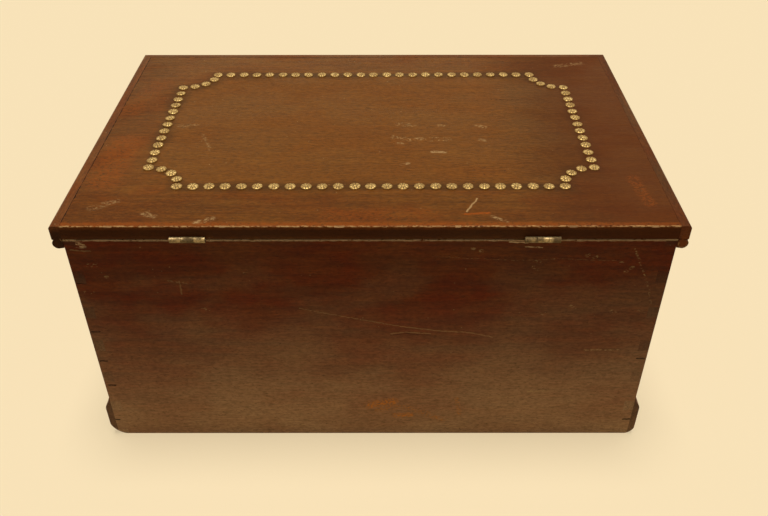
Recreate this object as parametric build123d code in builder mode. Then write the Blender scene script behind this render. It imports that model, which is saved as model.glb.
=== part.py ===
from build123d import *

import os
from math import atan2, cos, degrees, radians, sin, tan

# Wooden box for papers: a dovetailed case on a base moulding, with a hinged lid set with brass nails.
# The hinge side, the back, faces -Y. +X is to the right when the back is looked at, and +Z is up.
# The origin is the centre of the whole box, on the surface that it stands on. Sizes are millimetres.

# Case
CASE_WIDTH = 622.0
CASE_DEPTH = 408.0
CASE_HEIGHT = 294.0
BOARD = 12.0  # thickness of the four case boards
BACK_ARRIS = 1.0  # worn round along the top of the back board

# Dovetails: pins on the end boards, tails on the front and back boards
PIN_COUNT = 5
PIN_WIDTH = 14.0  # at the outer end of the pin
DOVETAIL_ANGLE = 8.0

# Bottom, held in grooves
BOTTOM_THICK = 9.0
BOTTOM_RAISE = 10.0  # underside above the floor
GROOVE_DEPTH = 5.0
GROOVE_PLAY = 0.5  # room for the bottom to move in its groove

# Base moulding
BASE_HEIGHT = 60.5
BASE_FACE = 43.5  # height of the plain face under the ogee
BASE_THICK = 7.5
BASE_LEDGE = 1.2  # thickness left at the top of the ogee
LEFT_WEAR = 17.0  # lower rear corners, worn round
RIGHT_WEAR = 10.0
WEAR_RUN = 70.0  # how far the wear runs along the side
WEAR_SAG = 0.36  # share of the wear that the middle of its curve lies in from the corner

# Lid
LID_THICK = 15.5
LID_GAP = 0.5  # joint between the case and the lid
LIP_PLAY = 0.5  # between the case and the lid moulding
LID_ARRIS = 1.5

# Lid moulding: rounded arris, flat, quirk and bead
MOULD_THICK = 10.5
MOULD_ARRIS = 3.0
MOULD_LIP = 11.3  # how far the moulding laps below the joint
BEAD_RADIUS = 5.8
BEAD_PROUD = 0.6  # how far the bead stands out from the flat
QUIRK_ANGLE = 50.0  # where the quirk cuts the bead, up from level
QUIRK_WIDTH = 1.3
LIP_SLOPE = 0.8  # rise of the underside from the bead to the case

# Brads that hold the mouldings
BRAD_WIDTH = 1.6
BRAD_THICK = 1.0
LID_BRAD_LENGTH = 24.0
LID_BRAD_DROP = 8.0  # below the top of the lid
BASE_BRAD_LENGTH = 16.0
BASE_BRAD_RISE = 24.0  # above the floor
BRAD_INSET = 62.0  # first brad from the end of its strip
SIDE_BRADS = 3
FRONT_BRADS = 5

# Brass nails: a ring of domed heads with scooped corners
STUD_RADIUS = 5.8
STUD_BOSS = 1.7
STUD_DOME = 2.2
STUD_FLATS = 8
STUD_SHANK = 1.6
STUD_LENGTH = 11.0
STUD_SIDE_INSET = 65.0  # columns from the ends of the lid board
STUD_EDGE_INSET = 65.75  # rows from the back and front of the lid board, before the ring's shift
STUD_SHIFT = 7.7  # of the whole ring towards the front
STUD_SCOOP = 38.7  # radius of the scooped corners
ROW_STUDS = 25
COLUMN_STUDS = 13
SCOOP_STUDS = 3  # between the end of a row and the end of a column

# Butt hinges
HINGE_LENGTH = 36.0
LEFT_HINGE_INSET = 126.5  # centre of each hinge from the end of the case
RIGHT_HINGE_INSET = 136.7
HINGE_OFFSET = 1.0  # axis behind the back face
KNUCKLE_RADIUS = 3.2
KNUCKLE_GAP = 0.3  # between knuckles
KNUCKLE_PLAY = 0.3  # around the knuckles
HINGE_PIN_RADIUS = 1.5
HINGE_PIN_PLAY = 0.05
LEAF_WIDTH = 11.0  # from the axis to the edge of the leaf
LEAF_THICK = 1.4
LEAF_HOLE = 7.4  # from the axis to the screws
LEAF_SCREWS = 2
LEAF_SCREW_PITCH = 21.0

# Wood screws
SCREW_HEAD = 2.1
SCREW_RIM = 0.2  # straight edge of the head
SCREW_SHANK = 1.1
SCREW_SINK_ANGLE = 82.0
SCREW_FLATS = 8
HINGE_SCREW_LENGTH = 10.0
LOCK_SCREW_LENGTH = 8.0

# Box lock, let into the inside of the front board
LOCK_WIDTH = 66.0
LOCK_HEIGHT = 42.0
LOCK_DEPTH = 8.5  # from the inside face of the front board
LOCK_PLATE = 1.4
SELVEDGE = 2.0
LOCK_EAR = 6.0  # plate past the box at each end, with the screws in its middle
LOCK_BOX_HEIGHT = 38.0  # below the selvedge
LOCK_WALL = 1.0
LOCK_SCREW_TOP = 9.0  # upper screws below the top of the plate
LOCK_SCREW_PITCH = 24.0

# Link plate, whose two staples drop into the lock
LINK_SHORT = 2.0  # short of the lock plate at each end
LINK_THICK = 2.0
LINK_SCREW_INSET = 5.0
STAPLE_INSET = 21.0  # centre of each staple from the end of the lock plate
STAPLE_THICK = 2.2
STAPLE_WIDTH = 5.0
STAPLE_LENGTH = 9.7
STAPLE_EYE_WIDTH = 3.0
STAPLE_EYE_HEIGHT = 4.6
STAPLE_EYE_RISE = 1.6  # metal under the eye
STAPLE_PLAY = 0.5

# Bolt
BOLT_THROW = 6.0
BOLT_TIP_GAP = 1.0  # finger to staple when drawn, post to staple when thrown
BOLT_POST = 5.0
BOLT_FINGER_WIDTH = 1.8
BOLT_FINGER_HEIGHT = 3.2
BOLT_BAR = 6.0
BOLT_BAR_DROP = 18.0  # top of the bar below the top of the case
BOLT_TAIL = 6.0  # bar past the right staple
BOLT_PLAY = 0.3
TALON_WIDTH = 5.0
TALON_DEPTH = 2.5
LEDGE_THICK = 1.5
LEDGE_GAP = 14.0  # where the key turns
SPRING_THICK = 0.5
SPRING_LAP = 1.0  # over the end of the bar
SPRING_RISE = 5.0

# Keyhole
KEYHOLE_RADIUS = 2.6
KEYHOLE_SLOT = 2.4
KEYHOLE_DROP = 6.2  # slot below the centre of the round part
KEYHOLE_DEPTH = 31.0  # centre below the top of the case
KEY_PIN_RADIUS = 1.0
KEY_PIN_LENGTH = 6.0
ESCUTCHEON_WALL = 1.0
ESCUTCHEON_DEPTH = 2.5

# Places worked out from the sizes above
LID_BOTTOM = CASE_HEIGHT + LID_GAP
LID_TOP = LID_BOTTOM + LID_THICK
LID_BOARD_WIDTH = CASE_WIDTH + 2 * LIP_PLAY
LID_BOARD_DEPTH = CASE_DEPTH + LIP_PLAY
KNUCKLE_PROUD = HINGE_OFFSET + KNUCKLE_RADIUS
REAR = (KNUCKLE_PROUD - LID_BOARD_DEPTH - MOULD_THICK - BEAD_PROUD) / 2  # back face of the case
FRONT = REAR + CASE_DEPTH
MIDDLE = (REAR + FRONT) / 2
LID_FRONT = REAR + LID_BOARD_DEPTH
SIDE = CASE_WIDTH / 2
LID_SIDE = LID_BOARD_WIDTH / 2
INNER_WIDTH = CASE_WIDTH - 2 * BOARD
INNER_DEPTH = CASE_DEPTH - 2 * BOARD
INNER_FRONT = FRONT - BOARD
AXIS_Y = REAR - HINGE_OFFSET
AXIS_Z = CASE_HEIGHT + LID_GAP / 2
HINGES = {"left": LEFT_HINGE_INSET - SIDE, "right": SIDE - RIGHT_HINGE_INSET}
RING_X = LID_BOARD_WIDTH / 2 - STUD_SIDE_INSET
RING_Y = LID_BOARD_DEPTH / 2 - STUD_EDGE_INSET
LOCK_BOX_WIDTH = LOCK_WIDTH - 2 * LOCK_EAR
LINK_WIDTH = LOCK_WIDTH - 2 * LINK_SHORT
STAPLE_SPREAD = LOCK_WIDTH - 2 * STAPLE_INSET
STAPLE_Y = INNER_FRONT + (LOCK_PLATE + LOCK_DEPTH - LOCK_WALL) / 2
KEYHOLE_Z = CASE_HEIGHT - KEYHOLE_DEPTH

os.makedirs("parts", exist_ok=True)


def across(y):
    """A plane across the box at depth y. Its normal looks out of the back."""
    return Plane.XZ.offset(-y)


def mitre(x, y):
    """The plane of a mitre through a front corner. Its normal looks to the side and back."""
    return Plane(origin=(x, y, 0), z_dir=(1 if x > 0 else -1, -1, 0))


# Dovetail pins at the four corners
PIN_PITCH = CASE_HEIGHT / (PIN_COUNT + 1)
PIN_FLARE = BOARD * tan(radians(DOVETAIL_ANGLE))
with BuildPart() as pins:
    with BuildSketch(across(REAR + BOARD), across(FRONT)):
        for pin in range(PIN_COUNT + 2):
            z = pin * PIN_PITCH
            narrow = PIN_WIDTH / 2
            wide = narrow + PIN_FLARE
            Polygon(
                (SIDE - BOARD, z - wide),
                (SIDE, z - narrow),
                (SIDE, z + narrow),
                (SIDE - BOARD, z + wide),
                align=None,
            )
        with Locations((SIDE - BOARD / 2, CASE_HEIGHT / 2)):
            Rectangle(BOARD, CASE_HEIGHT, mode=Mode.INTERSECT)
        mirror(about=Plane.YZ)
    extrude(amount=BOARD)

# Bottom board, and the grooves that hold it
with BuildPart() as bottom_board:
    reach = 2 * (GROOVE_DEPTH - GROOVE_PLAY)
    with BuildSketch(Plane.XY.offset(BOTTOM_RAISE)):
        with Locations((0, MIDDLE)):
            Rectangle(INNER_WIDTH + reach, INNER_DEPTH)
            Rectangle(INNER_WIDTH, INNER_DEPTH + reach)
    extrude(amount=BOTTOM_THICK)
bottom_board.part.label = "bottom_board"
export_step(bottom_board.part, "parts/bottom_board.step")

with BuildPart() as grooves:
    with BuildSketch(Plane.XY.offset(BOTTOM_RAISE)):
        with Locations((0, MIDDLE)):
            Rectangle(INNER_WIDTH + 2 * GROOVE_DEPTH, INNER_DEPTH)
            Rectangle(INNER_WIDTH, INNER_DEPTH + 2 * GROOVE_DEPTH)
    extrude(amount=BOTTOM_THICK)


def worn_corner(x, wear):
    """What wear has taken from a lower rear corner: a curved bit that dies out along the side."""
    inward = -wear if x > 0 else wear
    with BuildSketch(across(REAR)) as missing:
        with BuildLine():
            Polyline((x, wear), (x, 0), (x + inward, 0))
            ThreePointArc((x, wear), (x + inward * WEAR_SAG, wear * WEAR_SAG), (x + inward, 0))
        make_face()
    with BuildPart() as bit:
        loft(sections=[missing.sketch.face(), Vertex(x, REAR + WEAR_RUN, 0)], ruled=True)
    return bit.part


left_wear = worn_corner(-SIDE - BASE_THICK, LEFT_WEAR)
right_wear = worn_corner(SIDE + BASE_THICK, RIGHT_WEAR)


def wood_screw(length):
    """A countersunk screw in SCREW_FLATS flats, with its head upwards at the origin."""
    run = (SCREW_HEAD - SCREW_SHANK) * cos(radians(180 / SCREW_FLATS))
    drop = run / tan(radians(SCREW_SINK_ANGLE / 2))
    head_depth = SCREW_RIM + drop
    with BuildPart() as screw:
        with BuildSketch(Plane.XY):
            RegularPolygon(SCREW_HEAD, SCREW_FLATS)
        extrude(amount=-head_depth)
        under = screw.faces().sort_by(Axis.Z)[0]
        chamfer(under.edges(), length=run, length2=drop, reference=under)
        with BuildSketch(Plane.XY.offset(-head_depth)):
            RegularPolygon(SCREW_SHANK, SCREW_FLATS)
        extrude(amount=head_depth - length)
    return screw.part


hinge_screw = wood_screw(HINGE_SCREW_LENGTH)
lock_screw = wood_screw(LOCK_SCREW_LENGTH)

with BuildPart() as leaf_screws:
    with Locations((0, LEAF_HOLE, -LID_GAP / 2)):
        with GridLocations(LEAF_SCREW_PITCH, 1, LEAF_SCREWS, 1):
            add(hinge_screw)


def hinge_leaf(other):
    """A hinge leaf under its axis, which lies along X at the origin.

    other lists the places of the other leaf's knuckles, counted from the middle one.
    """
    knuckle = (HINGE_LENGTH - 2 * KNUCKLE_GAP) / 3
    room = 2 * (KNUCKLE_RADIUS + KNUCKLE_PLAY)
    with BuildPart() as leaf:
        with BuildSketch(Plane.YZ):
            Circle(KNUCKLE_RADIUS)
            with Locations((LEAF_WIDTH / 2, -(LID_GAP + LEAF_THICK) / 2)):
                Rectangle(LEAF_WIDTH, LEAF_THICK)
        extrude(amount=HINGE_LENGTH / 2, both=True)
        with Locations(*[(place * (knuckle + KNUCKLE_GAP), 0, 0) for place in other]):
            Box(knuckle + 2 * KNUCKLE_GAP, room, room, mode=Mode.SUBTRACT)
        bore = HINGE_PIN_RADIUS + HINGE_PIN_PLAY
        Cylinder(bore, HINGE_LENGTH, rotation=(0, 90, 0), mode=Mode.SUBTRACT)
        add(leaf_screws.part, mode=Mode.SUBTRACT)
    return leaf.part


lower_leaf = hinge_leaf(other=(0,))
upper_leaf = mirror(hinge_leaf(other=(-1, 1)), about=Plane.XY)
upper_screws = mirror(leaf_screws.part, about=Plane.XY)

# Recess in the wood for one leaf, its screws and the knuckles
with BuildPart() as leaf_recess:
    with Locations((0, 0, -LID_GAP / 2 - LEAF_THICK)):
        Box(HINGE_LENGTH, LEAF_WIDTH, LEAF_THICK, align=(Align.CENTER, Align.MIN, Align.MIN))
    groove = KNUCKLE_RADIUS + KNUCKLE_PLAY
    Cylinder(groove, HINGE_LENGTH + 2 * KNUCKLE_PLAY, rotation=(0, 90, 0))
    add(leaf_screws.part)

hinge_places = [Location((x, AXIS_Y, AXIS_Z)) for x in HINGES.values()]
with BuildPart() as case_hinge_cuts:
    with Locations(*hinge_places):
        add(leaf_recess.part)

with BuildPart() as lid_hinge_cuts:
    mirror(case_hinge_cuts.part, about=Plane.XY.offset(AXIS_Z))

for side, place in zip(HINGES, hinge_places):
    with BuildPart() as case_leaf:
        with Locations(place):
            add(lower_leaf)
    case_leaf.part.label = f"hinge_{side}_case_leaf"
    export_step(case_leaf.part, f"parts/hinge_{side}_case_leaf.step")

    with BuildPart() as lid_leaf:
        with Locations(place):
            add(upper_leaf)
    lid_leaf.part.label = f"hinge_{side}_lid_leaf"
    export_step(lid_leaf.part, f"parts/hinge_{side}_lid_leaf.step")

    with BuildPart() as pin:
        with Locations(place):
            Cylinder(HINGE_PIN_RADIUS, HINGE_LENGTH, rotation=(0, 90, 0))
    pin.part.label = f"hinge_{side}_pin"
    export_step(pin.part, f"parts/hinge_{side}_pin.step")

    with BuildPart() as case_screws:
        with Locations(place):
            add(leaf_screws.part)
    case_screws.part.label = f"hinge_{side}_case_screws"
    export_step(case_screws.part, f"parts/hinge_{side}_case_screws.step")

    with BuildPart() as lid_screws:
        with Locations(place):
            add(upper_screws)
    lid_screws.part.label = f"hinge_{side}_lid_screws"
    export_step(lid_screws.part, f"parts/hinge_{side}_lid_screws.step")


# Cut brads: rows of them through the lid moulding and the base moulding
def brads(side, front, height, length):
    """Brads driven in from a strip's face at x = side on both sides, and at y = front."""
    side_pitch = (CASE_DEPTH - 2 * BRAD_INSET) / (SIDE_BRADS - 1)
    front_pitch = (CASE_WIDTH - 2 * BRAD_INSET) / (FRONT_BRADS - 1)
    inward = (Align.MAX, Align.CENTER, Align.CENTER)
    with BuildPart() as row:
        with Locations((side, MIDDLE, height)):
            with GridLocations(1, side_pitch, 1, SIDE_BRADS):
                Box(length, BRAD_WIDTH, BRAD_THICK, align=inward)
        mirror(about=Plane.YZ)
        with Locations((0, front, height)):
            with GridLocations(front_pitch, 1, FRONT_BRADS, 1):
                Box(BRAD_WIDTH, length, BRAD_THICK, align=(Align.CENTER, Align.MAX, Align.CENTER))
    return row


lid_brads = brads(LID_SIDE + MOULD_THICK, LID_FRONT + MOULD_THICK, LID_TOP - LID_BRAD_DROP, LID_BRAD_LENGTH)
lid_brads.part.label = "lid_moulding_brads"
export_step(lid_brads.part, "parts/lid_moulding_brads.step")

base_brads = brads(SIDE + BASE_THICK, FRONT + BASE_THICK, BASE_BRAD_RISE, BASE_BRAD_LENGTH)
base_brads.part.label = "base_moulding_brads"
export_step(base_brads.part, "parts/base_moulding_brads.step")


def keyhole(grow):
    """Outline of the keyhole on its own plane, with grow added all round."""
    with BuildSketch() as outline:
        Circle(KEYHOLE_RADIUS + grow)
        with Locations((0, -(KEYHOLE_DROP + grow) / 2)):
            Rectangle(KEYHOLE_SLOT + 2 * grow, KEYHOLE_DROP + grow)
    return outline.sketch


lock_screws_z = CASE_HEIGHT - LOCK_SCREW_TOP - LOCK_SCREW_PITCH / 2
with BuildPart() as lock_screws:
    with Locations(across(INNER_FRONT) * Location((0, lock_screws_z))):
        with GridLocations(LOCK_WIDTH - LOCK_EAR, LOCK_SCREW_PITCH, 2, 2):
            add(lock_screw)
lock_screws.part.label = "lock_screws"
export_step(lock_screws.part, "parts/lock_screws.step")

# Lock plate with its selvedge, flush with the inside and the top edge of the front board
TO_FRONT = (Align.CENTER, Align.MIN, Align.MAX)
with BuildPart() as lock_plate:
    with Locations((0, INNER_FRONT, CASE_HEIGHT)):
        Box(LOCK_WIDTH, LOCK_PLATE, LOCK_HEIGHT, align=TO_FRONT)
        Box(LOCK_WIDTH, LOCK_DEPTH, SELVEDGE, align=TO_FRONT)
    with Locations((0, STAPLE_Y, CASE_HEIGHT)):
        with GridLocations(STAPLE_SPREAD, 1, 2, 1):
            Box(
                STAPLE_THICK + 2 * STAPLE_PLAY,
                STAPLE_WIDTH + 2 * STAPLE_PLAY,
                SELVEDGE,
                align=(Align.CENTER, Align.CENTER, Align.MAX),
                mode=Mode.SUBTRACT,
            )
    add(lock_screws.part, mode=Mode.SUBTRACT)
lock_plate.part.label = "lock_plate"
export_step(lock_plate.part, "parts/lock_plate.step")

# Lock box: an open tray over the works, with ledges that the bolt slides on
BOX_TOP = CASE_HEIGHT - SELVEDGE
BOX_DEPTH = LOCK_DEPTH - LOCK_PLATE
BAR_TOP = CASE_HEIGHT - BOLT_BAR_DROP
BAR_BOTTOM = BAR_TOP - BOLT_BAR
with BuildPart() as lock_box:
    with Locations((0, INNER_FRONT + LOCK_PLATE, BOX_TOP)):
        Box(LOCK_BOX_WIDTH, BOX_DEPTH, LOCK_BOX_HEIGHT, align=TO_FRONT)
        Box(
            LOCK_BOX_WIDTH - 2 * LOCK_WALL,
            BOX_DEPTH - LOCK_WALL,
            LOCK_BOX_HEIGHT - LOCK_WALL,
            align=TO_FRONT,
            mode=Mode.SUBTRACT,
        )
    with Locations((0, INNER_FRONT + LOCK_PLATE, BAR_BOTTOM - BOLT_PLAY)):
        Box(LOCK_BOX_WIDTH, BOX_DEPTH, LEDGE_THICK, align=TO_FRONT)
        Box(LEDGE_GAP, BOX_DEPTH - LOCK_WALL, LEDGE_THICK, align=TO_FRONT, mode=Mode.SUBTRACT)
    with BuildSketch(across(INNER_FRONT + LOCK_DEPTH)):
        with Locations((0, KEYHOLE_Z)):
            add(keyhole(0))
    extrude(amount=LOCK_WALL, mode=Mode.SUBTRACT)
lock_box.part.label = "lock_box"
export_step(lock_box.part, "parts/lock_box.step")

with BuildPart() as key_pin:
    with Locations((0, INNER_FRONT + LOCK_PLATE, KEYHOLE_Z)):
        foot = (Align.CENTER, Align.CENTER, Align.MIN)
        Cylinder(KEY_PIN_RADIUS, KEY_PIN_LENGTH, rotation=(-90, 0, 0), align=foot)
key_pin.part.label = "key_pin"
export_step(key_pin.part, "parts/key_pin.step")

# Bolt: a bar with a post and a finger beside each staple. The drawn bolt is the one modelled.
EYE_BOTTOM = LID_BOTTOM - STAPLE_LENGTH + STAPLE_EYE_RISE
FINGER_Z = EYE_BOTTOM + STAPLE_EYE_HEIGHT / 2
TIP_INSET = STAPLE_THICK / 2 + BOLT_TIP_GAP
POST_INSET = TIP_INSET + BOLT_THROW
BAR_LEFT = -STAPLE_SPREAD / 2 - POST_INSET - BOLT_POST
BAR_RIGHT = STAPLE_SPREAD / 2 + BOLT_TAIL
with BuildPart() as lock_bolt:
    with BuildSketch(across(STAPLE_Y)):
        with Locations((BAR_LEFT, BAR_BOTTOM)):
            Rectangle(BAR_RIGHT - BAR_LEFT, BOLT_BAR, align=Align.MIN)
        with Locations((0, BAR_BOTTOM)):
            Rectangle(TALON_WIDTH, TALON_DEPTH, align=(Align.CENTER, Align.MIN), mode=Mode.SUBTRACT)
    extrude(amount=(BOX_DEPTH - LOCK_WALL) / 2 - BOLT_PLAY, both=True)
    with BuildSketch(across(STAPLE_Y)):
        for staple in (-STAPLE_SPREAD / 2, STAPLE_SPREAD / 2):
            with Locations((staple - POST_INSET, BAR_TOP)):
                post_height = FINGER_Z + BOLT_FINGER_HEIGHT / 2 - BAR_TOP
                Rectangle(BOLT_POST, post_height, align=(Align.MAX, Align.MIN))
            with Locations((staple - TIP_INSET, FINGER_Z)):
                Rectangle(BOLT_THROW, BOLT_FINGER_HEIGHT, align=(Align.MAX, Align.CENTER))
    extrude(amount=BOLT_FINGER_WIDTH / 2, both=True)
lock_bolt.part.label = "lock_bolt"
export_step(lock_bolt.part, "parts/lock_bolt.step")

# Spring strip from the right wall of the lock box down to the bar
SPRING_END = LOCK_BOX_WIDTH / 2 - LOCK_WALL
SPRING_REACH = SPRING_END - BAR_RIGHT + SPRING_LAP
SPRING_FOOT = BAR_TOP + BOLT_PLAY
with BuildPart() as lock_spring:
    with BuildSketch(across(STAPLE_Y)):
        with BuildLine():
            low = SPRING_FOOT + SPRING_THICK / 2
            ThreePointArc(
                (SPRING_END, low + SPRING_RISE),
                (SPRING_END - SPRING_REACH / 2, low + SPRING_RISE / 4),
                (SPRING_END - SPRING_REACH, low),
            )
            offset(amount=SPRING_THICK / 2, kind=Kind.INTERSECTION)
        make_face()
    extrude(amount=BOLT_FINGER_WIDTH, both=True)
    with Locations((SPRING_END, STAPLE_Y, SPRING_FOOT)):
        room = (Align.MAX, Align.CENTER, Align.MIN)
        Box(2 * SPRING_REACH, BOX_DEPTH, 2 * SPRING_RISE, align=room, mode=Mode.INTERSECT)
lock_spring.part.label = "lock_spring"
export_step(lock_spring.part, "parts/lock_spring.step")

with BuildPart() as escutcheon:
    with BuildSketch(across(FRONT)):
        with Locations((0, KEYHOLE_Z)):
            add(keyhole(ESCUTCHEON_WALL))
            add(keyhole(0), mode=Mode.SUBTRACT)
    extrude(amount=ESCUTCHEON_DEPTH)
escutcheon.part.label = "escutcheon"
export_step(escutcheon.part, "parts/escutcheon.step")

# Wood taken out of the front board for the lock and the keyhole
with BuildPart() as lock_cuts:
    with Locations((0, INNER_FRONT, CASE_HEIGHT)):
        Box(LOCK_WIDTH, LOCK_PLATE, LOCK_HEIGHT, align=TO_FRONT)
        Box(LOCK_WIDTH, LOCK_DEPTH, SELVEDGE, align=TO_FRONT)
        Box(LOCK_BOX_WIDTH, LOCK_DEPTH, SELVEDGE + LOCK_BOX_HEIGHT, align=TO_FRONT)
    with BuildSketch(across(FRONT)):
        with Locations((0, KEYHOLE_Z)):
            add(keyhole(0))
    extrude(amount=BOARD - LOCK_DEPTH)
    with BuildSketch(across(FRONT)):
        with Locations((0, KEYHOLE_Z)):
            add(keyhole(ESCUTCHEON_WALL))
    extrude(amount=ESCUTCHEON_DEPTH)
    add(lock_screws.part)

# Link plate let into the underside of the lid, with its two staples
with BuildPart() as link_screws:
    with Locations(Plane(origin=(0, STAPLE_Y, LID_BOTTOM), x_dir=(1, 0, 0), z_dir=(0, 0, -1))):
        with GridLocations(LINK_WIDTH - 2 * LINK_SCREW_INSET, 1, 2, 1):
            add(hinge_screw)
link_screws.part.label = "link_plate_screws"
export_step(link_screws.part, "parts/link_plate_screws.step")

with BuildPart() as link_plate:
    link_depth = LOCK_DEPTH - LOCK_PLATE
    with Locations((0, STAPLE_Y, LID_BOTTOM)):
        Box(LINK_WIDTH, link_depth, LINK_THICK, align=(Align.CENTER, Align.CENTER, Align.MIN))
        with GridLocations(STAPLE_SPREAD, 1, 2, 1):
            Box(STAPLE_THICK, STAPLE_WIDTH, STAPLE_LENGTH, align=(Align.CENTER, Align.CENTER, Align.MAX))
    with Locations((0, STAPLE_Y, EYE_BOTTOM)):
        with GridLocations(STAPLE_SPREAD, 1, 2, 1):
            Box(
                STAPLE_THICK,
                STAPLE_EYE_WIDTH,
                STAPLE_EYE_HEIGHT,
                align=(Align.CENTER, Align.CENTER, Align.MIN),
                mode=Mode.SUBTRACT,
            )
    add(link_screws.part, mode=Mode.SUBTRACT)
link_plate.part.label = "link_plate"
export_step(link_plate.part, "parts/link_plate.step")

with BuildPart() as link_cuts:
    with Locations((0, STAPLE_Y, LID_BOTTOM)):
        Box(LINK_WIDTH, link_depth, LINK_THICK, align=(Align.CENTER, Align.CENTER, Align.MIN))
    add(link_screws.part)

# The four case boards
with BuildPart() as back_board:
    with BuildSketch(across(REAR + BOARD)):
        Rectangle(CASE_WIDTH, CASE_HEIGHT, align=(Align.CENTER, Align.MIN))
    extrude(amount=BOARD)
    rear_top = back_board.edges().filter_by(Axis.X).group_by(Axis.Z)[-1].sort_by(Axis.Y)[0]
    fillet(rear_top, BACK_ARRIS)
    add(pins.part, mode=Mode.SUBTRACT)
    add(grooves.part, mode=Mode.SUBTRACT)
    add(case_hinge_cuts.part, mode=Mode.SUBTRACT)
    add(left_wear, mode=Mode.SUBTRACT)
    add(right_wear, mode=Mode.SUBTRACT)
back_board.part.label = "back_board"
export_step(back_board.part, "parts/back_board.step")

with BuildPart() as front_board:
    with BuildSketch(across(FRONT)):
        Rectangle(CASE_WIDTH, CASE_HEIGHT, align=(Align.CENTER, Align.MIN))
    extrude(amount=BOARD)
    add(pins.part, mode=Mode.SUBTRACT)
    add(grooves.part, mode=Mode.SUBTRACT)
    add(base_brads.part, mode=Mode.SUBTRACT)
    add(lock_cuts.part, mode=Mode.SUBTRACT)
front_board.part.label = "front_board"
export_step(front_board.part, "parts/front_board.step")

for name, side, wear in (("left", -1, left_wear), ("right", 1, right_wear)):
    with BuildPart() as end_board:
        with Locations((side * (SIDE - BOARD / 2), MIDDLE, 0)):
            Box(BOARD, INNER_DEPTH, CASE_HEIGHT, align=(Align.CENTER, Align.CENTER, Align.MIN))
        add([pin for pin in pins.part.solids() if pin.center().X * side > 0])
        add(grooves.part, mode=Mode.SUBTRACT)
        add(base_brads.part, mode=Mode.SUBTRACT)
        add(wear, mode=Mode.SUBTRACT)
    end_board.part.label = f"{name}_end_board"
    export_step(end_board.part, f"parts/{name}_end_board.step")


def base_section():
    """Section of the base moulding: x out from the case, y up from the floor."""
    middle = ((BASE_THICK + BASE_LEDGE) / 2, (BASE_FACE + BASE_HEIGHT) / 2)
    with BuildSketch() as section:
        with BuildLine():
            Polyline(
                (BASE_LEDGE, BASE_HEIGHT),
                (0, BASE_HEIGHT),
                (0, 0),
                (BASE_THICK, 0),
                (BASE_THICK, BASE_FACE),
            )
            swell = TangentArc((BASE_THICK, BASE_FACE), middle, tangent=(0, 1))
            TangentArc(middle, (BASE_LEDGE, BASE_HEIGHT), tangent=swell % 1)
        make_face()
    return section.sketch


def lid_section():
    """Section of the lid moulding: x out from the edge of the lid board, y up from the floor."""
    bead_x = MOULD_THICK + BEAD_PROUD - BEAD_RADIUS
    bead_y = CASE_HEIGHT - MOULD_LIP + BEAD_RADIUS
    quirk = radians(QUIRK_ANGLE)
    bead_top = (bead_x + BEAD_RADIUS * cos(quirk), bead_y + BEAD_RADIUS * sin(quirk))
    with BuildSketch() as section:
        with BuildLine():
            Polyline(
                (bead_x, bead_y - BEAD_RADIUS),
                (0, bead_y - BEAD_RADIUS + LIP_SLOPE),
                (0, LID_TOP),
                (MOULD_THICK - MOULD_ARRIS, LID_TOP),
            )
            flat_top = (MOULD_THICK, LID_TOP - MOULD_ARRIS)
            RadiusArc((MOULD_THICK - MOULD_ARRIS, LID_TOP), flat_top, MOULD_ARRIS)
            Polyline(flat_top, (MOULD_THICK, bead_top[1] + QUIRK_WIDTH), bead_top)
            ThreePointArc(bead_top, (bead_x + BEAD_RADIUS, bead_y), (bead_x, bead_y - BEAD_RADIUS))
        make_face()
    return section.sketch


# Strips of moulding: the section runs along the side or the front and is cut to its mitres
def side_strip(section, x, y):
    """The right-hand strip, from the back of the case to the mitre at the corner (x, y)."""
    with BuildPart() as strip:
        with BuildSketch(across(REAR)):
            with Locations((x, 0)):
                add(section)
        extrude(amount=-(y - REAR + 2 * MOULD_THICK))
        split(bisect_by=mitre(x, y), keep=Keep.TOP)
    return strip.part


def front_strip(section, x, y):
    """The front strip, between its two mitres at the corners (-x, y) and (x, y)."""
    with BuildPart() as strip:
        with BuildSketch(Plane(origin=(0, y, 0), x_dir=(0, 1, 0), z_dir=(1, 0, 0))):
            add(section)
        extrude(amount=x + 2 * MOULD_THICK, both=True)
        split(bisect_by=mitre(x, y), keep=Keep.BOTTOM)
        split(bisect_by=mitre(-x, y), keep=Keep.BOTTOM)
    return strip.part


base_side = side_strip(base_section(), SIDE, FRONT)
lid_side = side_strip(lid_section(), LID_SIDE, LID_FRONT)

with BuildPart() as base_right:
    add(base_side)
    add(base_brads.part, mode=Mode.SUBTRACT)
    add(right_wear, mode=Mode.SUBTRACT)
base_right.part.label = "base_moulding_right"
export_step(base_right.part, "parts/base_moulding_right.step")

with BuildPart() as base_left:
    mirror(base_side, about=Plane.YZ)
    add(base_brads.part, mode=Mode.SUBTRACT)
    add(left_wear, mode=Mode.SUBTRACT)
base_left.part.label = "base_moulding_left"
export_step(base_left.part, "parts/base_moulding_left.step")

with BuildPart() as base_front:
    add(front_strip(base_section(), SIDE, FRONT))
    add(base_brads.part, mode=Mode.SUBTRACT)
base_front.part.label = "base_moulding_front"
export_step(base_front.part, "parts/base_moulding_front.step")

with BuildPart() as lid_right:
    add(lid_side)
    add(lid_brads.part, mode=Mode.SUBTRACT)
lid_right.part.label = "lid_moulding_right"
export_step(lid_right.part, "parts/lid_moulding_right.step")

with BuildPart() as lid_left:
    mirror(lid_right.part, about=Plane.YZ)
lid_left.part.label = "lid_moulding_left"
export_step(lid_left.part, "parts/lid_moulding_left.step")

with BuildPart() as lid_front:
    add(front_strip(lid_section(), LID_SIDE, LID_FRONT))
    add(lid_brads.part, mode=Mode.SUBTRACT)
lid_front.part.label = "lid_moulding_front"
export_step(lid_front.part, "parts/lid_moulding_front.step")


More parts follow.
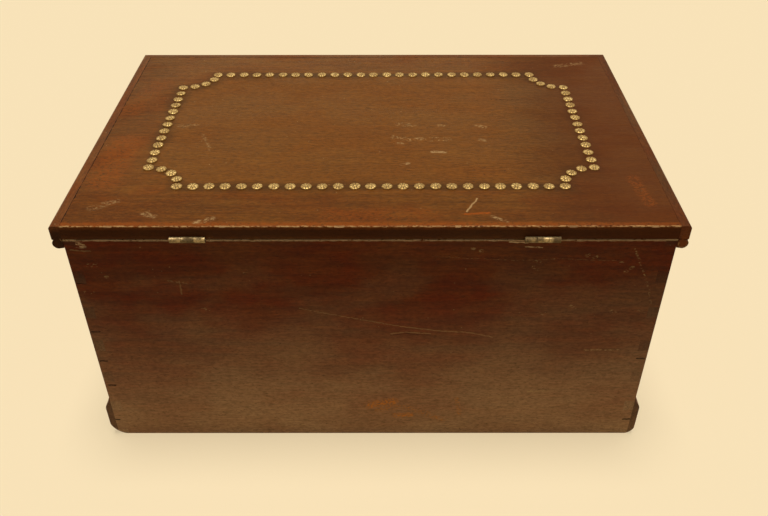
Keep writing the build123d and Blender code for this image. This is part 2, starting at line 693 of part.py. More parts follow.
# Brass nails: a domed head in STUD_FLATS flats, and a square shank
with BuildPart() as stud:
    with BuildSketch(Plane.XY):
        RegularPolygon(STUD_RADIUS, STUD_FLATS)
    dome_run = (STUD_RADIUS - STUD_BOSS) * cos(radians(180 / STUD_FLATS))
    extrude(amount=STUD_DOME, taper=degrees(atan2(dome_run, STUD_DOME)))
    Box(STUD_SHANK, STUD_SHANK, STUD_LENGTH, align=(Align.CENTER, Align.CENTER, Align.MAX))

LID_CENTRE = REAR + LID_BOARD_DEPTH / 2
RING_CENTRE = LID_CENTRE + STUD_SHIFT
ROW_PITCH = 2 * (RING_X - STUD_SCOOP) / (ROW_STUDS - 1)
COLUMN_PITCH = 2 * (RING_Y - STUD_SCOOP) / (COLUMN_STUDS - 1)
SCOOP_STEP = 90 / (SCOOP_STUDS + 1)
stud_nodes = []

for name, y in (("rear", RING_CENTRE - RING_Y), ("front", RING_CENTRE + RING_Y)):
    with BuildPart() as row:
        with Locations((0, y, LID_TOP)):
            with GridLocations(ROW_PITCH, 1, ROW_STUDS, 1):
                add(stud.part)
    row.part.label = f"{name}_row_studs"
    export_step(row.part, f"parts/{name}_row_studs.step")
    stud_nodes.append(row.part)

for name, x in (("left", -RING_X), ("right", RING_X)):
    with BuildPart() as column:
        with Locations((x, RING_CENTRE, LID_TOP)):
            with GridLocations(1, COLUMN_PITCH, 1, COLUMN_STUDS):
                add(stud.part)
    column.part.label = f"{name}_column_studs"
    export_step(column.part, f"parts/{name}_column_studs.step")
    stud_nodes.append(column.part)

with BuildPart() as corner_studs:
    corners = ((-RING_X, -RING_Y, 0), (RING_X, -RING_Y, 90), (RING_X, RING_Y, 180), (-RING_X, RING_Y, 270))
    for x, y, turn in corners:
        with Locations((x, RING_CENTRE + y, LID_TOP)):
            with PolarLocations(
                STUD_SCOOP, SCOOP_STUDS, turn + SCOOP_STEP, 90 - 2 * SCOOP_STEP, rotate=False, endpoint=True
            ):
                add(stud.part)
corner_studs.part.label = "corner_studs"
export_step(corner_studs.part, "parts/corner_studs.step")
stud_nodes.append(corner_studs.part)

with BuildPart() as lid_board:
    with BuildSketch(Plane.XY.offset(LID_BOTTOM)):
        with Locations((0, LID_CENTRE)):
            Rectangle(LID_BOARD_WIDTH, LID_BOARD_DEPTH)
    extrude(amount=LID_THICK)
    rear_arris = lid_board.edges().filter_by(Axis.X).group_by(Axis.Z)[-1].sort_by(Axis.Y)[0]
    fillet(rear_arris, LID_ARRIS)
    for studs in stud_nodes:
        add(studs, mode=Mode.SUBTRACT)
    add(lid_hinge_cuts.part, mode=Mode.SUBTRACT)
    add(lid_brads.part, mode=Mode.SUBTRACT)
    add(link_cuts.part, mode=Mode.SUBTRACT)
lid_board.part.label = "lid_board"
export_step(lid_board.part, "parts/lid_board.step")
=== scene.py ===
"""Looks of an old wooden document box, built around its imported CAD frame.

The box stands on a pale floor with its hinge side towards the camera. The wooden boards and mouldings are
copies of the frame's solids with worn arrises and chips, the brass nails get their petals, and the screws
their slots and threads. Sizes in the classes are millimetres, and Blender's own objects are in metres.
"""

from __future__ import annotations

import logging
import math
import random
from collections.abc import Callable
from dataclasses import dataclass
from enum import Enum
from functools import partial

import bmesh
import bpy
from mathutils import Matrix, Vector, noise

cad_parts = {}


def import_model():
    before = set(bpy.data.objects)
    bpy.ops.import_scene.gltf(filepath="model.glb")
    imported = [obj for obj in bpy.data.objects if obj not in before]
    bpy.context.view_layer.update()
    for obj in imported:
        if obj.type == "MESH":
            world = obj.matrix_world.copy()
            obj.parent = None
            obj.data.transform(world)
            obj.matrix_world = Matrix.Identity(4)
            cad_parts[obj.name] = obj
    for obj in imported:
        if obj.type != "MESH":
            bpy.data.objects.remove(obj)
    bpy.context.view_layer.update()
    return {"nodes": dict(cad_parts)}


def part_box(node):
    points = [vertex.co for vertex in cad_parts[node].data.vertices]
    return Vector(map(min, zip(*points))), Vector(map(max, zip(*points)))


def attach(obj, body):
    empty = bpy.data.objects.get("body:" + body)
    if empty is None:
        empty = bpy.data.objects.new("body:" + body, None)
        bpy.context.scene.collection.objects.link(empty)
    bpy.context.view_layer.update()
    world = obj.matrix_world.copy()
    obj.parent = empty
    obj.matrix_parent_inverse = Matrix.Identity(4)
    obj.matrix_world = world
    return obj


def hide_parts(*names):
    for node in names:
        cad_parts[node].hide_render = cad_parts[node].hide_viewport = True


LOG = logging.getLogger("document_box")
MM = 0.001
MATH = "ShaderNodeMath"
VECTOR_MATH = "ShaderNodeVectorMath"
MAP_RANGE = "ShaderNodeMapRange"
NOISE = "ShaderNodeTexNoise"
MIX = "ShaderNodeMix"
COLOURS = {"out": 2, "data_type": "RGBA"}  # settings of a mix node that takes colours
A, B = 6, 7  # its inputs for the colour below and the one laid over it
SMOOTH = {"interpolation_type": "SMOOTHSTEP"}  # setting of a map range node that eases in and out

Point = tuple[float, float, float]
Socket = bpy.types.NodeSocket
Material = bpy.types.Material
Mesh = bmesh.types.BMesh


class Body(Enum):
    """Bodies that the pieces ride on."""

    CASE = "case"
    LID = "lid"
    BOLT = "lock_bolt"


class Grain(Enum):
    """Axis that a board's grain runs along."""

    ALONG_X = 0
    ALONG_Y = 1
    END = 3

    def squeeze(self, share: float) -> Point:
        """Scale that draws a pattern out along the grain, the longer the smaller the share."""
        return tuple(share if axis == self.value else 1.0 for axis in range(3))


class Surface(Enum):
    """Finished surfaces of a wooden piece. The value is the place of its material on the piece."""

    POLISHED = 0
    BARE = 1
    END_GRAIN = 2
    BROKEN = 3


class Tone(Enum):
    """What a mark shows: mostly wear, and in places painted shade and a painted highlight."""

    PALE = "scuffed polish"
    RAW = "wood under the polish"
    # the dirt tone also lays painted shade on the lid, its strips and the lid's back edge
    DIRT = "old dirt"
    RUST = "orange ground colour"
    # the splintered-wood tone also lays the painted highlight along the back board's top arris
    DRY_AND_HIGHLIGHT = "dry splintered wood"


def linear(code: str) -> tuple[float, float, float, float]:
    """Turn an sRGB colour into the linear one that Blender's nodes take.

    Args:
        code: Colour as six hex digits after a hash sign.

    Returns:
        Linear red, green, blue and an alpha of one.
    """
    channels = [int(code[start : start + 2], 16) / 255 for start in (1, 3, 5)]
    red, green, blue = [c / 12.92 if c <= 0.04045 else ((c + 0.055) / 1.055) ** 2.4 for c in channels]
    return red, green, blue, 1.0


def add_node(
    tree: bpy.types.NodeTree, kind: str, inputs: dict | None = None, out: int | str = 0, **settings
) -> Socket | None:
    """Add a node with its settings, values and links.

    Args:
        tree: Node tree that gets the node.
        kind: Blender's name of the node type.
        inputs: Value or source socket for each input, by name or place.
        out: Output that is wanted, by name or place.
        **settings: Properties of the node.

    Returns:
        The wanted output, or nothing from a node that has none.
    """
    node = tree.nodes.new(kind)
    for name, value in settings.items():
        setattr(node, name, value)
    for key, value in (inputs or {}).items():
        if isinstance(value, bpy.types.NodeSocket):
            tree.links.new(value, node.inputs[key])
        else:
            node.inputs[key].default_value = value
    return node.outputs[out] if len(node.outputs) else None


def background_rays(add: Callable) -> Socket:
    """Mask of the rays that show the background: the camera's, those off a gloss and those through glass.

    Args:
        add: Function that adds a node to the tree.

    Returns:
        The mask.
    """
    paths = add("ShaderNodeLightPath").node.outputs
    shown = paths["Is Camera Ray"]
    for name in ("Is Glossy Ray", "Is Transmission Ray"):
        shown = add(MATH, {0: shown, 1: paths[name]}, operation="MAXIMUM")
    return shown


def mark_group() -> bpy.types.NodeTree:
    """Node group that draws one mark.

    Returns:
        The group, made once and then shared by all the finishes.
    """
    name = "wear_mark"
    if name in bpy.data.node_groups:
        return bpy.data.node_groups[name]
    group = bpy.data.node_groups.new(name, "ShaderNodeTree")
    for kind, sockets in {"Vector": "Place Start End", "Float": "Width Strength Breakup Flecks"}.items():
        for socket in sockets.split():
            group.interface.new_socket(socket, in_out="INPUT", socket_type=f"NodeSocket{kind}")
    group.interface.new_socket("Mask", in_out="OUTPUT", socket_type="NodeSocketFloat")
    add = partial(add_node, group)
    given = add("NodeGroupInput").node.outputs
    run = add(VECTOR_MATH, {0: given["End"], 1: given["Start"]}, operation="SUBTRACT")
    away = add(VECTOR_MATH, {0: given["Place"], 1: given["Start"]}, operation="SUBTRACT")
    along = add(VECTOR_MATH, {0: away, 1: run}, out="Value", operation="DOT_PRODUCT")
    whole = add(VECTOR_MATH, {0: run, 1: run}, out="Value", operation="DOT_PRODUCT")
    share = add(MATH, {0: along, 1: whole}, operation="DIVIDE")
    # two plain nodes, as a clamped one takes room in the shader for every mark at once
    share = add(MATH, {0: share, 1: 0.0}, operation="MAXIMUM")
    share = add(MATH, {0: share, 1: 1.0}, operation="MINIMUM")
    near = add(VECTOR_MATH, {0: run, "Scale": share}, operation="SCALE")
    gap = add(VECTOR_MATH, {0: away, 1: near}, out="Value", operation="DISTANCE")
    core = add(MATH, {0: given["Width"], 1: 0.25}, operation="MULTIPLY")
    reach = {"Value": gap, "From Min": core, "From Max": given["Width"], "To Min": 1.0, "To Max": 0.0}
    body = add(MAP_RANGE, reach, **SMOOTH)
    edge = add(MATH, {0: given["Breakup"], 1: 0.1}, operation="ADD")
    breaks = {"Value": given["Flecks"], "From Min": given["Breakup"], "From Max": edge}
    fleck = add(MAP_RANGE, breaks, **SMOOTH)
    broken = add(MATH, {0: body, 1: fleck}, operation="MULTIPLY")
    mask = add(MATH, {0: broken, 1: given["Strength"]}, operation="MULTIPLY")
    add("NodeGroupOutput", {"Mask": mask})
    return group


@dataclass(frozen=True)
class Mark:
    """A mark along a straight line, in millimetres: mostly wear, some painted shade and a painted highlight.

    breakup is the share of the mark that is broken away into flecks.
    """

    start: Point
    end: Point
    width: float
    tone: Tone
    strength: float
    breakup: float


def marks_on(rows: dict[Tone, tuple], place: Callable[[float, float], Point]) -> list[Mark]:
    """Marks from a table of chains of points on a face.

    Args:
        rows: Chains of each tone, each chain with its points, width, strength and breakup.
        place: Function that turns a point of the face into one of the row frame.

    Returns:
        The marks.
    """
    return [
        Mark(place(*start), place(*end), width, tone, strength, breakup)
        for tone, chains in rows.items()
        for points, width, strength, breakup in chains
        for start, end in zip(points, points[1:])
    ]


# chains on the back board, from x and z of its face, as marks_on takes them
REAR_MARKS = {
    Tone.PALE: (
        (((-77, 202), (-45, 194), (-12, 186), (31, 176)), 1.1, 0.5, 0.36),
        (((31, 176), (76, 169), (105, 167), (118, 164), (134, 160)), 1.1, 0.6, 0.3),
        (((21, 165), (38, 167), (65, 165)), 1.2, 0.55, 0.3),
        (((183, 73), (205, 74)), 3.0, 0.75, 0.42),
        (((135, 62), (165, 66)), 3.0, 0.35, 0.48),
        (((270, 281), (275, 271), (279, 262), (285, 249)), 1.9, 1.0, 0.5),
        (((285, 249), (291, 236), (296, 222), (302, 204)), 1.8, 0.85, 0.55),
        (((239, 140), (277, 140)), 2.2, 0.75, 0.48),
        (((64, 272), (113, 269), (154, 267), (195, 269), (262, 266)), 0.8, 0.35, 0.45),
        (((-201, 240), (-201, 222)), 1.3, 0.45, 0.3),
        (((-212, 240), (-190, 237)), 2.2, 0.4, 0.46),
        (((258, 3), (310, 5)), 1.8, 0.7, 0.44),
        (((-300, 2), (-180, 2)), 1.4, 0.5, 0.5),
        (((-120, 3), (30, 3), (240, 3)), 1.6, 0.5, 0.56),
        (((-306, 281), (-286, 279)), 1.4, 0.6, 0.4),
        (((-262, 24), (-263, 13)), 3.5, 0.3, 0.4),
    ),
    Tone.DIRT: (
        (((21, 163), (38, 165), (65, 163)), 1.0, 0.5, 0.3),
        (((60, 274), (113, 271), (154, 269), (195, 271), (262, 268)), 1.2, 0.42, 0.46),
    ),
    Tone.RUST: (
        (((-3, 50), (24, 56)), 9.0, 0.95, 0.46),
        (((28, 32), (46, 33)), 5.5, 0.85, 0.42),
        (((6, 42), (40, 48), (84, 24)), 6.0, 0.6, 0.5),
        (((100, 60), (104, 34)), 4.0, 0.6, 0.48),
    ),
    Tone.DRY_AND_HIGHLIGHT: (
        (((141, 290.5), (160, 290)), 1.3, 1.0, 0.2),
        (((158, 284.5), (175, 283.5)), 1.1, 0.8, 0.36),
        (((-304, 290), (-292, 286)), 4.6, 0.95, 0.44),
    ),
}

# short marks on the back board: how far their ends lie from a spot, their look, and the spots
REAR_FLECKS = (
    ((-1, 0), (1, 0.7), (2.6, Tone.PALE, 1.0, 0.46),
     ((105, 282), (113, 279), (223, 273), (231, 271), (265, 252), (271, 257), (259, 264), (-277, 245))),
    ((-2, 1), (3, -1), (3.2, Tone.PALE, 0.9, 0.53),
     ((170, 257), (172, 265), (261, 198), (291, 198), (217, 204), (184, 192), (-133, 251), (-179, 201))),
    ((-4, 0), (4, 0), (3.6, Tone.PALE, 0.85, 0.55),
     ((-85, 62), (-39, 50), (235, 58), (287, 49), (276, 14), (299, 16), (-299, 225), (-288, 261))),
    ((-4, 0), (4, 0), (1.7, Tone.DIRT, 0.9, 0.3),
     ((-306, 50), (-310, 25), (306, 25), (-304, 237), (-304, 168), (-305, 123), (-303, 84), (304, 127))),
)

# chains on the lid board, from x and y of its top
LID_MARKS = {
    Tone.PALE: (
        (((99, -181), (112, -157)), 1.5, 0.9, 0.32),
        (((27, -26), (44, -31), (68, -31), (88, -31)), 7.0, 0.85, 0.54),
        (((31, 6), (48, 3)), 7.0, 0.75, 0.54),
        (((80, 3), (86, 2)), 3.0, 0.6, 0.45),
        (((69, -60), (83, -61)), 3.2, 0.85, 0.38),
        (((126, 2), (134, -2)), 5.0, 0.6, 0.48),
        (((126, -32), (131, -34)), 4.0, 0.5, 0.46),
        (((34, -88), (41, -86)), 3.4, 0.7, 0.42),
        (((31, -40), (35, -41)), 3.4, 0.5, 0.42),
        (((249, 171), (284, 180)), 7.0, 0.55, 0.5),
        (((124, -190), (138, -200)), 3.0, 0.7, 0.46),
        (((-232, -184), (-220, -190)), 5.0, 0.7, 0.48),
        (((-175, -201), (-160, -194)), 5.0, 0.8, 0.47),
        (((-287, -175), (-266, -162)), 7.0, 0.5, 0.5),
        (((-231, 1), (-212, 5)), 6.0, 0.45, 0.5),
        (((-200, -20), (-184, -57)), 3.0, 0.4, 0.5),
    ),
    Tone.DIRT: (
        (((150, 70), (212, 71), (285, 70)), 1.8, 0.6, 0.42),
        (((-290, -185), (-180, -175)), 26.0, 0.3, 0.45),
        (((236, -150), (264, -170)), 22.0, 0.4, 0.44),
    ),
    Tone.RUST: (
        (((-290, -120), (-285, -40)), 32.0, 0.4, 0.42),
        (((-300, 40), (-280, 120)), 22.0, 0.25, 0.45),
        (((-40, -188), (60, -186)), 18.0, 0.25, 0.45),
        (((97, -186), (122, -184)), 2.8, 0.8, 0.38),
        (((284, -118), (290, -166)), 13.0, 0.42, 0.44),
    ),
}


@dataclass
class Finish:
    """A material in the making: how it starts and ends, and patterns of a real size."""

    name: str

    def __post_init__(self) -> None:
        """Begin the material, with coordinates in millimetres."""
        self.material = bpy.data.materials.new(self.name)
        self.material.use_nodes = True
        self.material.node_tree.nodes.clear()
        self.add = partial(add_node, self.material.node_tree)
        place = self.add("ShaderNodeTexCoord", out="Object")
        self.spot = self.add(VECTOR_MATH, {0: place, "Scale": 1 / MM}, operation="SCALE")

    def pattern(self, size: float, detail: float, ends: tuple, squeeze: Point = (1.0, 1.0, 1.0)) -> Socket:
        """A noise of a real size, spread to its whole range.

        Args:
            size: Size of the pattern in millimetres.
            detail: Finer layers of the noise.
            ends: Noise that becomes nought, and noise that becomes one.
            squeeze: Scale of each axis, which draws the pattern out where it is small.

        Returns:
            The pattern, from nought to one.
        """
        scale = tuple(share / size for share in squeeze)
        drawn = self.add(VECTOR_MATH, {0: self.spot, 1: scale}, operation="MULTIPLY")
        grey = self.add(NOISE, {"Vector": drawn, "Scale": 1.0, "Detail": detail})
        spread = {"Value": grey, "From Min": ends[0], "From Max": ends[1]}
        return self.add(MAP_RANGE, spread, **SMOOTH)

    def finished(self, inputs: dict) -> Material:
        """End the material with a shader that has these inputs."""
        self.add("ShaderNodeOutputMaterial", {"Surface": self.add("ShaderNodeBsdfPrincipled", inputs)})
        return self.material


@dataclass(frozen=True)
class RingShape:
    """Outline of the ring of nails on the lid, in millimetres, and how the lid looks there."""

    half_width: float
    half_depth: float
    centre: float
    scoop: float
    faded: str = "#754615"
    fade: float = 0.5
    fade_start: float = 4.0  # distance outside the ring
    fade_full: float = -14.0  # and inside it
    soil: str = "#3b260a"
    soiling: float = 0.62
    soil_core: float = 2.0
    soil_least: float = 9.0  # how far the dirt reaches from the ring where there is little
    soil_more: float = 12.0  # and how much farther it can reach

    @classmethod
    def of_frame(cls) -> RingShape:
        """Measure the ring on the CAD nodes.

        Returns:
            The outline.
        """
        rear, front, column = (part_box(f"{name}_studs") for name in ("rear_row", "front_row", "right_column"))
        near = (rear[0].y + rear[1].y) / 2 / MM
        far = (front[0].y + front[1].y) / 2 / MM
        side = (column[0].x + column[1].x) / 2 / MM
        head = (column[1].x - column[0].x) / 2 / MM
        return cls(side, (far - near) / 2, (far + near) / 2, side - (rear[1].x / MM - head))


@dataclass
class FrenchPolish(Finish):
    """Old french polish on stained mahogany, worn by hands and dust.

    The eye gets a warm brown ground in redder and yellower patches, fine streaks and dark pores along the
    grain, a soft uneven sheen, and pale nicks and scratches where the polish is broken.
    """

    grain: Grain
    light: str  # yellower patches
    red: str  # redder patches
    deep: str  # dark streaks
    pale: str = "#b08a58"
    raw: str = "#c0935a"
    # also the painted highlight along the back board's top arris
    dry_and_highlight: str = "#ecc48e"
    # also the colour of the painted shade that marks lay on the lid and its strips
    dirt: str = "#140a05"
    rust: str = "#9c4f17"
    # colour towards the foot: worn polish and painted floor light
    faded: str = "#93704a"
    cloud_size: float = 65.0  # patches of stain, in millimetres as are all the sizes
    stain_size: float = 17.0
    streak_width: float = 6.0
    streak_depth: float = 0.4
    fibre_width: float = 1.5  # drawn three times as wide as real fibres, so that they show
    fibre_depth: float = 0.27
    pore_width: float = 0.9  # the same
    pore_depth: float = 0.42
    mottle_size: float = 2.8
    nick_spread: float = 9.0
    nick_size: float = 1.2
    nick_share: float = 0.5
    relief_depth: float = 0.15
    roughness: float = 0.36
    specular: float = 0.08
    foot_height: float = 0.0  # the colour grows lighter and duller below this: worn polish and painted floor light
    foot_lightening: float = 0.6
    marks: tuple[Mark, ...] = ()
    ring: RingShape | None = None

    def build(self) -> Material:
        """Make the material.

        Returns:
            The material.
        """
        add, depth = self.add, self.fibre_depth
        cloud = self.pattern(self.cloud_size, 5.0, (0.36, 0.64), self.grain.squeeze(0.6))
        colour = self.ground(cloud)
        if self.foot_height:
            colour = self.lighten_foot(cloud, colour)
        if self.ring:
            colour = self.fade_ring(cloud, colour)
        fibre = self.pattern(self.fibre_width, 3.0, (0.25, 0.75), self.grain.squeeze(0.12))
        mottle = self.pattern(self.mottle_size, 4.0, (0.3, 0.7), self.grain.squeeze(0.5))
        pore = self.pattern(self.pore_width, 1.0, (0.6, 0.72), self.grain.squeeze(0.25))
        shade = add(MATH, {0: fibre, 1: depth, 2: 1.0 - depth * 1.15}, operation="MULTIPLY_ADD")
        shade = add(MATH, {0: mottle, 1: depth * 1.1, 2: shade}, operation="MULTIPLY_ADD")
        colour = add(VECTOR_MATH, {0: colour, "Scale": shade}, operation="SCALE")
        pits = add(MATH, {0: pore, 1: self.pore_depth}, operation="MULTIPLY")
        colour = add(MIX, {0: pits, A: colour, B: linear(self.dirt)}, **COLOURS)
        place = self.wobbled()
        nicks = self.nicks(place)
        colour = add(MIX, {0: nicks, A: colour, B: linear(self.pale)}, **COLOURS)
        rough = add(MATH, {0: cloud, 1: 0.16, 2: self.roughness - 0.08}, operation="MULTIPLY_ADD")
        if self.marks:
            # the marks, painted shade among them, roughen the polish
            colour, wear = self.worn(place, colour)
            rough = add(MATH, {0: wear, 1: 0.3, 2: rough}, operation="MULTIPLY_ADD")
        height = fibre
        for relief, share in ((pore, -0.7), (nicks, -1.5), (mottle, 0.9)):
            height = add(MATH, {0: relief, 1: share, 2: height}, operation="MULTIPLY_ADD")
        bump = add("ShaderNodeBump", {"Strength": 0.4, "Distance": self.relief_depth * MM, "Height": height})
        look = {"Base Color": colour, "Roughness": rough, "Normal": bump}
        return self.finished({**look, "Specular IOR Level": self.specular})

    def ground(self, cloud: Socket) -> Socket:
        """Stained wood in patches of two sizes, with dark streaks along the grain.

        Args:
            cloud: Pattern of large patches.

        Returns:
            The colour.
        """
        stain = self.pattern(self.stain_size, 4.0, (0.35, 0.65), self.grain.squeeze(0.5))
        patch = self.add(MATH, {0: stain, 1: 0.45}, operation="MULTIPLY")
        patch = self.add(MATH, {0: cloud, 1: 0.55, 2: patch}, operation="MULTIPLY_ADD")
        colour = self.add(MIX, {0: patch, A: linear(self.light), B: linear(self.red)}, **COLOURS)
        streak = self.pattern(self.streak_width, 4.0, (0.35, 0.7), self.grain.squeeze(0.06))
        dark = self.add(MATH, {0: streak, 1: self.streak_depth}, operation="MULTIPLY")
        return self.add(MIX, {0: dark, A: colour, B: linear(self.deep)}, **COLOURS)

    def wobbled(self) -> Socket:
        """Coordinates with a small wobble, which makes straight marks look hand-made.

        Returns:
            The coordinates in millimetres.
        """
        drift = self.add(NOISE, {"Vector": self.spot, "Scale": 0.16, "Detail": 3.0}, out="Color")
        centred = self.add(VECTOR_MATH, {0: drift, 1: (0.5, 0.5, 0.5)}, operation="SUBTRACT")
        return self.add(VECTOR_MATH, {0: centred, 1: (3.0, 3.0, 3.0), 2: self.spot}, operation="MULTIPLY_ADD")

    def nicks(self, place: Socket) -> Socket:
        """Small random nicks in the polish.

        Args:
            place: Coordinates in millimetres, with a wobble.

        Returns:
            The nicks as a mask.
        """
        cells = {"Vector": place, "Scale": 1 / self.nick_spread, "Randomness": 1.0}
        gap = self.add("ShaderNodeTexVoronoi", cells, out="Distance")
        chance = self.add("ShaderNodeSeparateColor", {0: gap.node.outputs["Color"]})
        size = self.add(MATH, {0: chance, 1: self.nick_size / self.nick_spread}, operation="MULTIPLY")
        near = {"Value": gap, "From Min": size, "From Max": 0.0}
        small = self.add(MAP_RANGE, near, **SMOOTH)
        kept = {"Value": chance, "From Min": 1 - self.nick_share, "From Max": 1.0, "To Max": 0.8}
        return self.add(MATH, {0: small, 1: self.add(MAP_RANGE, kept)}, operation="MULTIPLY")

    def worn(self, place: Socket, colour: Socket) -> tuple[Socket, Socket]:
        """Draw the marks over a colour, tone by tone: wear, painted shade and a painted highlight.

        Args:
            place: Coordinates in millimetres, with the wobble that the marks get.
            colour: Colour so far.

        Returns:
            The new colour and a mask of all the marks, painted shade among them.
        """
        loose = self.add(VECTOR_MATH, {0: self.spot, 1: self.grain.squeeze(0.45)}, operation="MULTIPLY")
        flecks = self.add(NOISE, {"Vector": loose, "Scale": 0.75, "Detail": 5.0})
        total = 0.0
        for tone in (Tone.DIRT, Tone.RUST, Tone.PALE, Tone.RAW, Tone.DRY_AND_HIGHLIGHT):
            mask = 0.0
            for mark in (mark for mark in self.marks if mark.tone is tone):
                values = {"Place": place, "Start": mark.start, "End": mark.end, "Flecks": flecks}
                values |= {"Width": mark.width, "Strength": mark.strength, "Breakup": mark.breakup}
                drawn = self.add("ShaderNodeGroup", values, node_tree=mark_group(), out="Mask")
                mask = self.add(MATH, {0: mask, 1: drawn}, operation="MAXIMUM")
            if mask:
                paint = linear(getattr(self, tone.name.lower()))
                colour = self.add(MIX, {0: mask, A: colour, B: paint}, **COLOURS)
                total = self.add(MATH, {0: total, 1: mask}, operation="MAXIMUM")
        return colour, total

    def lighten_foot(self, cloud: Socket, colour: Socket) -> Socket:
        """Lighten and dull the colour towards the foot of the box, unevenly: worn polish, with painted light
        from the floor.

        Args:
            cloud: Pattern of large patches.
            colour: Colour of the wood so far.

        Returns:
            The new colour.
        """
        level = self.add("ShaderNodeSeparateXYZ", {0: self.spot}, out="Z")
        level = self.add(MATH, {0: cloud, 1: 60.0, 2: level}, operation="MULTIPLY_ADD")
        low = {"Value": level, "From Min": self.foot_height, "From Max": 0.0, "To Max": self.foot_lightening}
        # share of the foot colour, painted floor light with worn polish, at each height
        dull = self.add(MAP_RANGE, low)
        return self.add(MIX, {0: dull, A: colour, B: linear(self.faded)}, **COLOURS)

    def fade_ring(self, cloud: Socket, colour: Socket) -> Socket:
        """Fade the wood inside the ring of nails and lay old olive dirt along it.

        Args:
            cloud: Pattern of large patches.
            colour: Colour of the wood so far.

        Returns:
            The new colour.
        """
        add, ring = self.add, self.ring
        moved = add(VECTOR_MATH, {0: self.spot, 1: (0.0, ring.centre, 0.0)}, operation="SUBTRACT")
        folded = add(VECTOR_MATH, {0: moved}, operation="ABSOLUTE")
        over = add(VECTOR_MATH, {0: folded, 1: (ring.half_width, ring.half_depth, 0.0)}, operation="SUBTRACT")
        flat = add(VECTOR_MATH, {0: over, 1: (1.0, 1.0, 0.0)}, operation="MULTIPLY")
        axes = add("ShaderNodeSeparateXYZ", {0: over}).node.outputs
        box = add(MATH, {0: axes["X"], 1: axes["Y"]}, operation="MAXIMUM")
        corner = add(VECTOR_MATH, {0: flat}, out="Value", operation="LENGTH")
        bite = add(MATH, {0: ring.scoop, 1: corner}, operation="SUBTRACT")
        outside = add(MATH, {0: box, 1: bite}, operation="MAXIMUM")
        span = {"From Min": ring.fade_start, "From Max": ring.fade_full, "To Max": ring.fade}
        inner = add(MAP_RANGE, {"Value": outside, **span}, **SMOOTH)
        colour = add(MIX, {0: inner, A: colour, B: linear(ring.faded)}, **COLOURS)
        line = add(MATH, {0: outside}, operation="ABSOLUTE")
        ragged = add(MATH, {0: cloud, 1: ring.soil_more, 2: ring.soil_least}, operation="MULTIPLY_ADD")
        span = {"From Min": ragged, "From Max": ring.soil_core, "To Max": ring.soiling}
        halo = add(MAP_RANGE, {"Value": line, **span}, **SMOOTH)
        return add(MIX, {0: halo, A: colour, B: linear(ring.soil)}, **COLOURS)


@dataclass
class BareWood(Finish):
    """Planed wood that never had a finish, greyed and marked by what the box held.

    The eye gets plain matt streaks along the grain, with no sheen.
    """

    grain: Grain
    light: str
    deep: str
    stain: str
    streak_width: float = 9.0
    fibre_width: float = 1.8
    stain_size: float = 70.0
    relief_depth: float = 0.15
    roughness: float = 0.78
    specular: float = 0.2

    def build(self) -> Material:
        """Make the material.

        Returns:
            The material.
        """
        add = self.add
        streak = self.pattern(self.streak_width, 5.0, (0.3, 0.7), self.grain.squeeze(0.05))
        fibre = self.pattern(self.fibre_width, 3.0, (0.25, 0.75), self.grain.squeeze(0.05))
        stain = self.pattern(self.stain_size, 4.0, (0.5, 0.72))
        colour = add(MIX, {0: streak, A: linear(self.light), B: linear(self.deep)}, **COLOURS)
        stained = add(MATH, {0: stain, 1: 0.5}, operation="MULTIPLY")
        colour = add(MIX, {0: stained, A: colour, B: linear(self.stain)}, **COLOURS)
        shade = add(MATH, {0: fibre, 1: 0.3, 2: 0.82}, operation="MULTIPLY_ADD")
        colour = add(VECTOR_MATH, {0: colour, "Scale": shade}, operation="SCALE")
        bump = add("ShaderNodeBump", {"Strength": 0.4, "Distance": self.relief_depth * MM, "Height": fibre})
        look = {"Base Color": colour, "Roughness": self.roughness, "Normal": bump}
        return self.finished({**look, "Specular IOR Level": self.specular})


@dataclass
class OldMetal(Finish):
    """Brass, iron or steel that has been handled and left to tarnish.

    The eye gets a warm gloss on the high places, and a dull brown film and dirt in the low ones.
    """

    bright: str
    film: str
    dirt: str
    metallic: float = 1.0
    roughness: float = 0.34
    film_size: float = 3.0  # patches of tarnish, in millimetres
    film_share: float = 0.5
    dirt_share: float = 0.25
    pit_depth: float = 0.05
    relief: str = ""  # attribute that is one on high places and nought in hollows

    def build(self) -> Material:
        """Make the material.

        Returns:
            The material.
        """
        add = self.add
        patch = self.pattern(self.film_size, 4.0, (0.35, 0.65))
        grit = self.pattern(self.film_size / 6, 3.0, (0.4, 0.7))
        film = add(MATH, {0: patch, 1: self.film_share}, operation="MULTIPLY")
        colour = add(MIX, {0: film, A: linear(self.bright), B: linear(self.film)}, **COLOURS)
        low = add(MATH, {0: grit, 1: self.dirt_share}, operation="MULTIPLY")
        if self.relief:
            high = add("ShaderNodeAttribute", out="Fac", attribute_name=self.relief)
            hollow = add(MATH, {0: 1.0, 1: high}, operation="SUBTRACT")
            low = add(MATH, {0: hollow, 1: low}, operation="MAXIMUM")
        colour = add(MIX, {0: low, A: colour, B: linear(self.dirt)}, **COLOURS)
        metal = add(MATH, {0: low, 1: -0.85 * self.metallic, 2: self.metallic}, operation="MULTIPLY_ADD")
        rough = add(MATH, {0: film, 1: 0.5, 2: self.roughness}, operation="MULTIPLY_ADD")
        bump = add("ShaderNodeBump", {"Strength": 0.3, "Distance": self.pit_depth * MM, "Height": grit})
        return self.finished({"Base Color": colour, "Metallic": metal, "Roughness": rough, "Normal": bump})


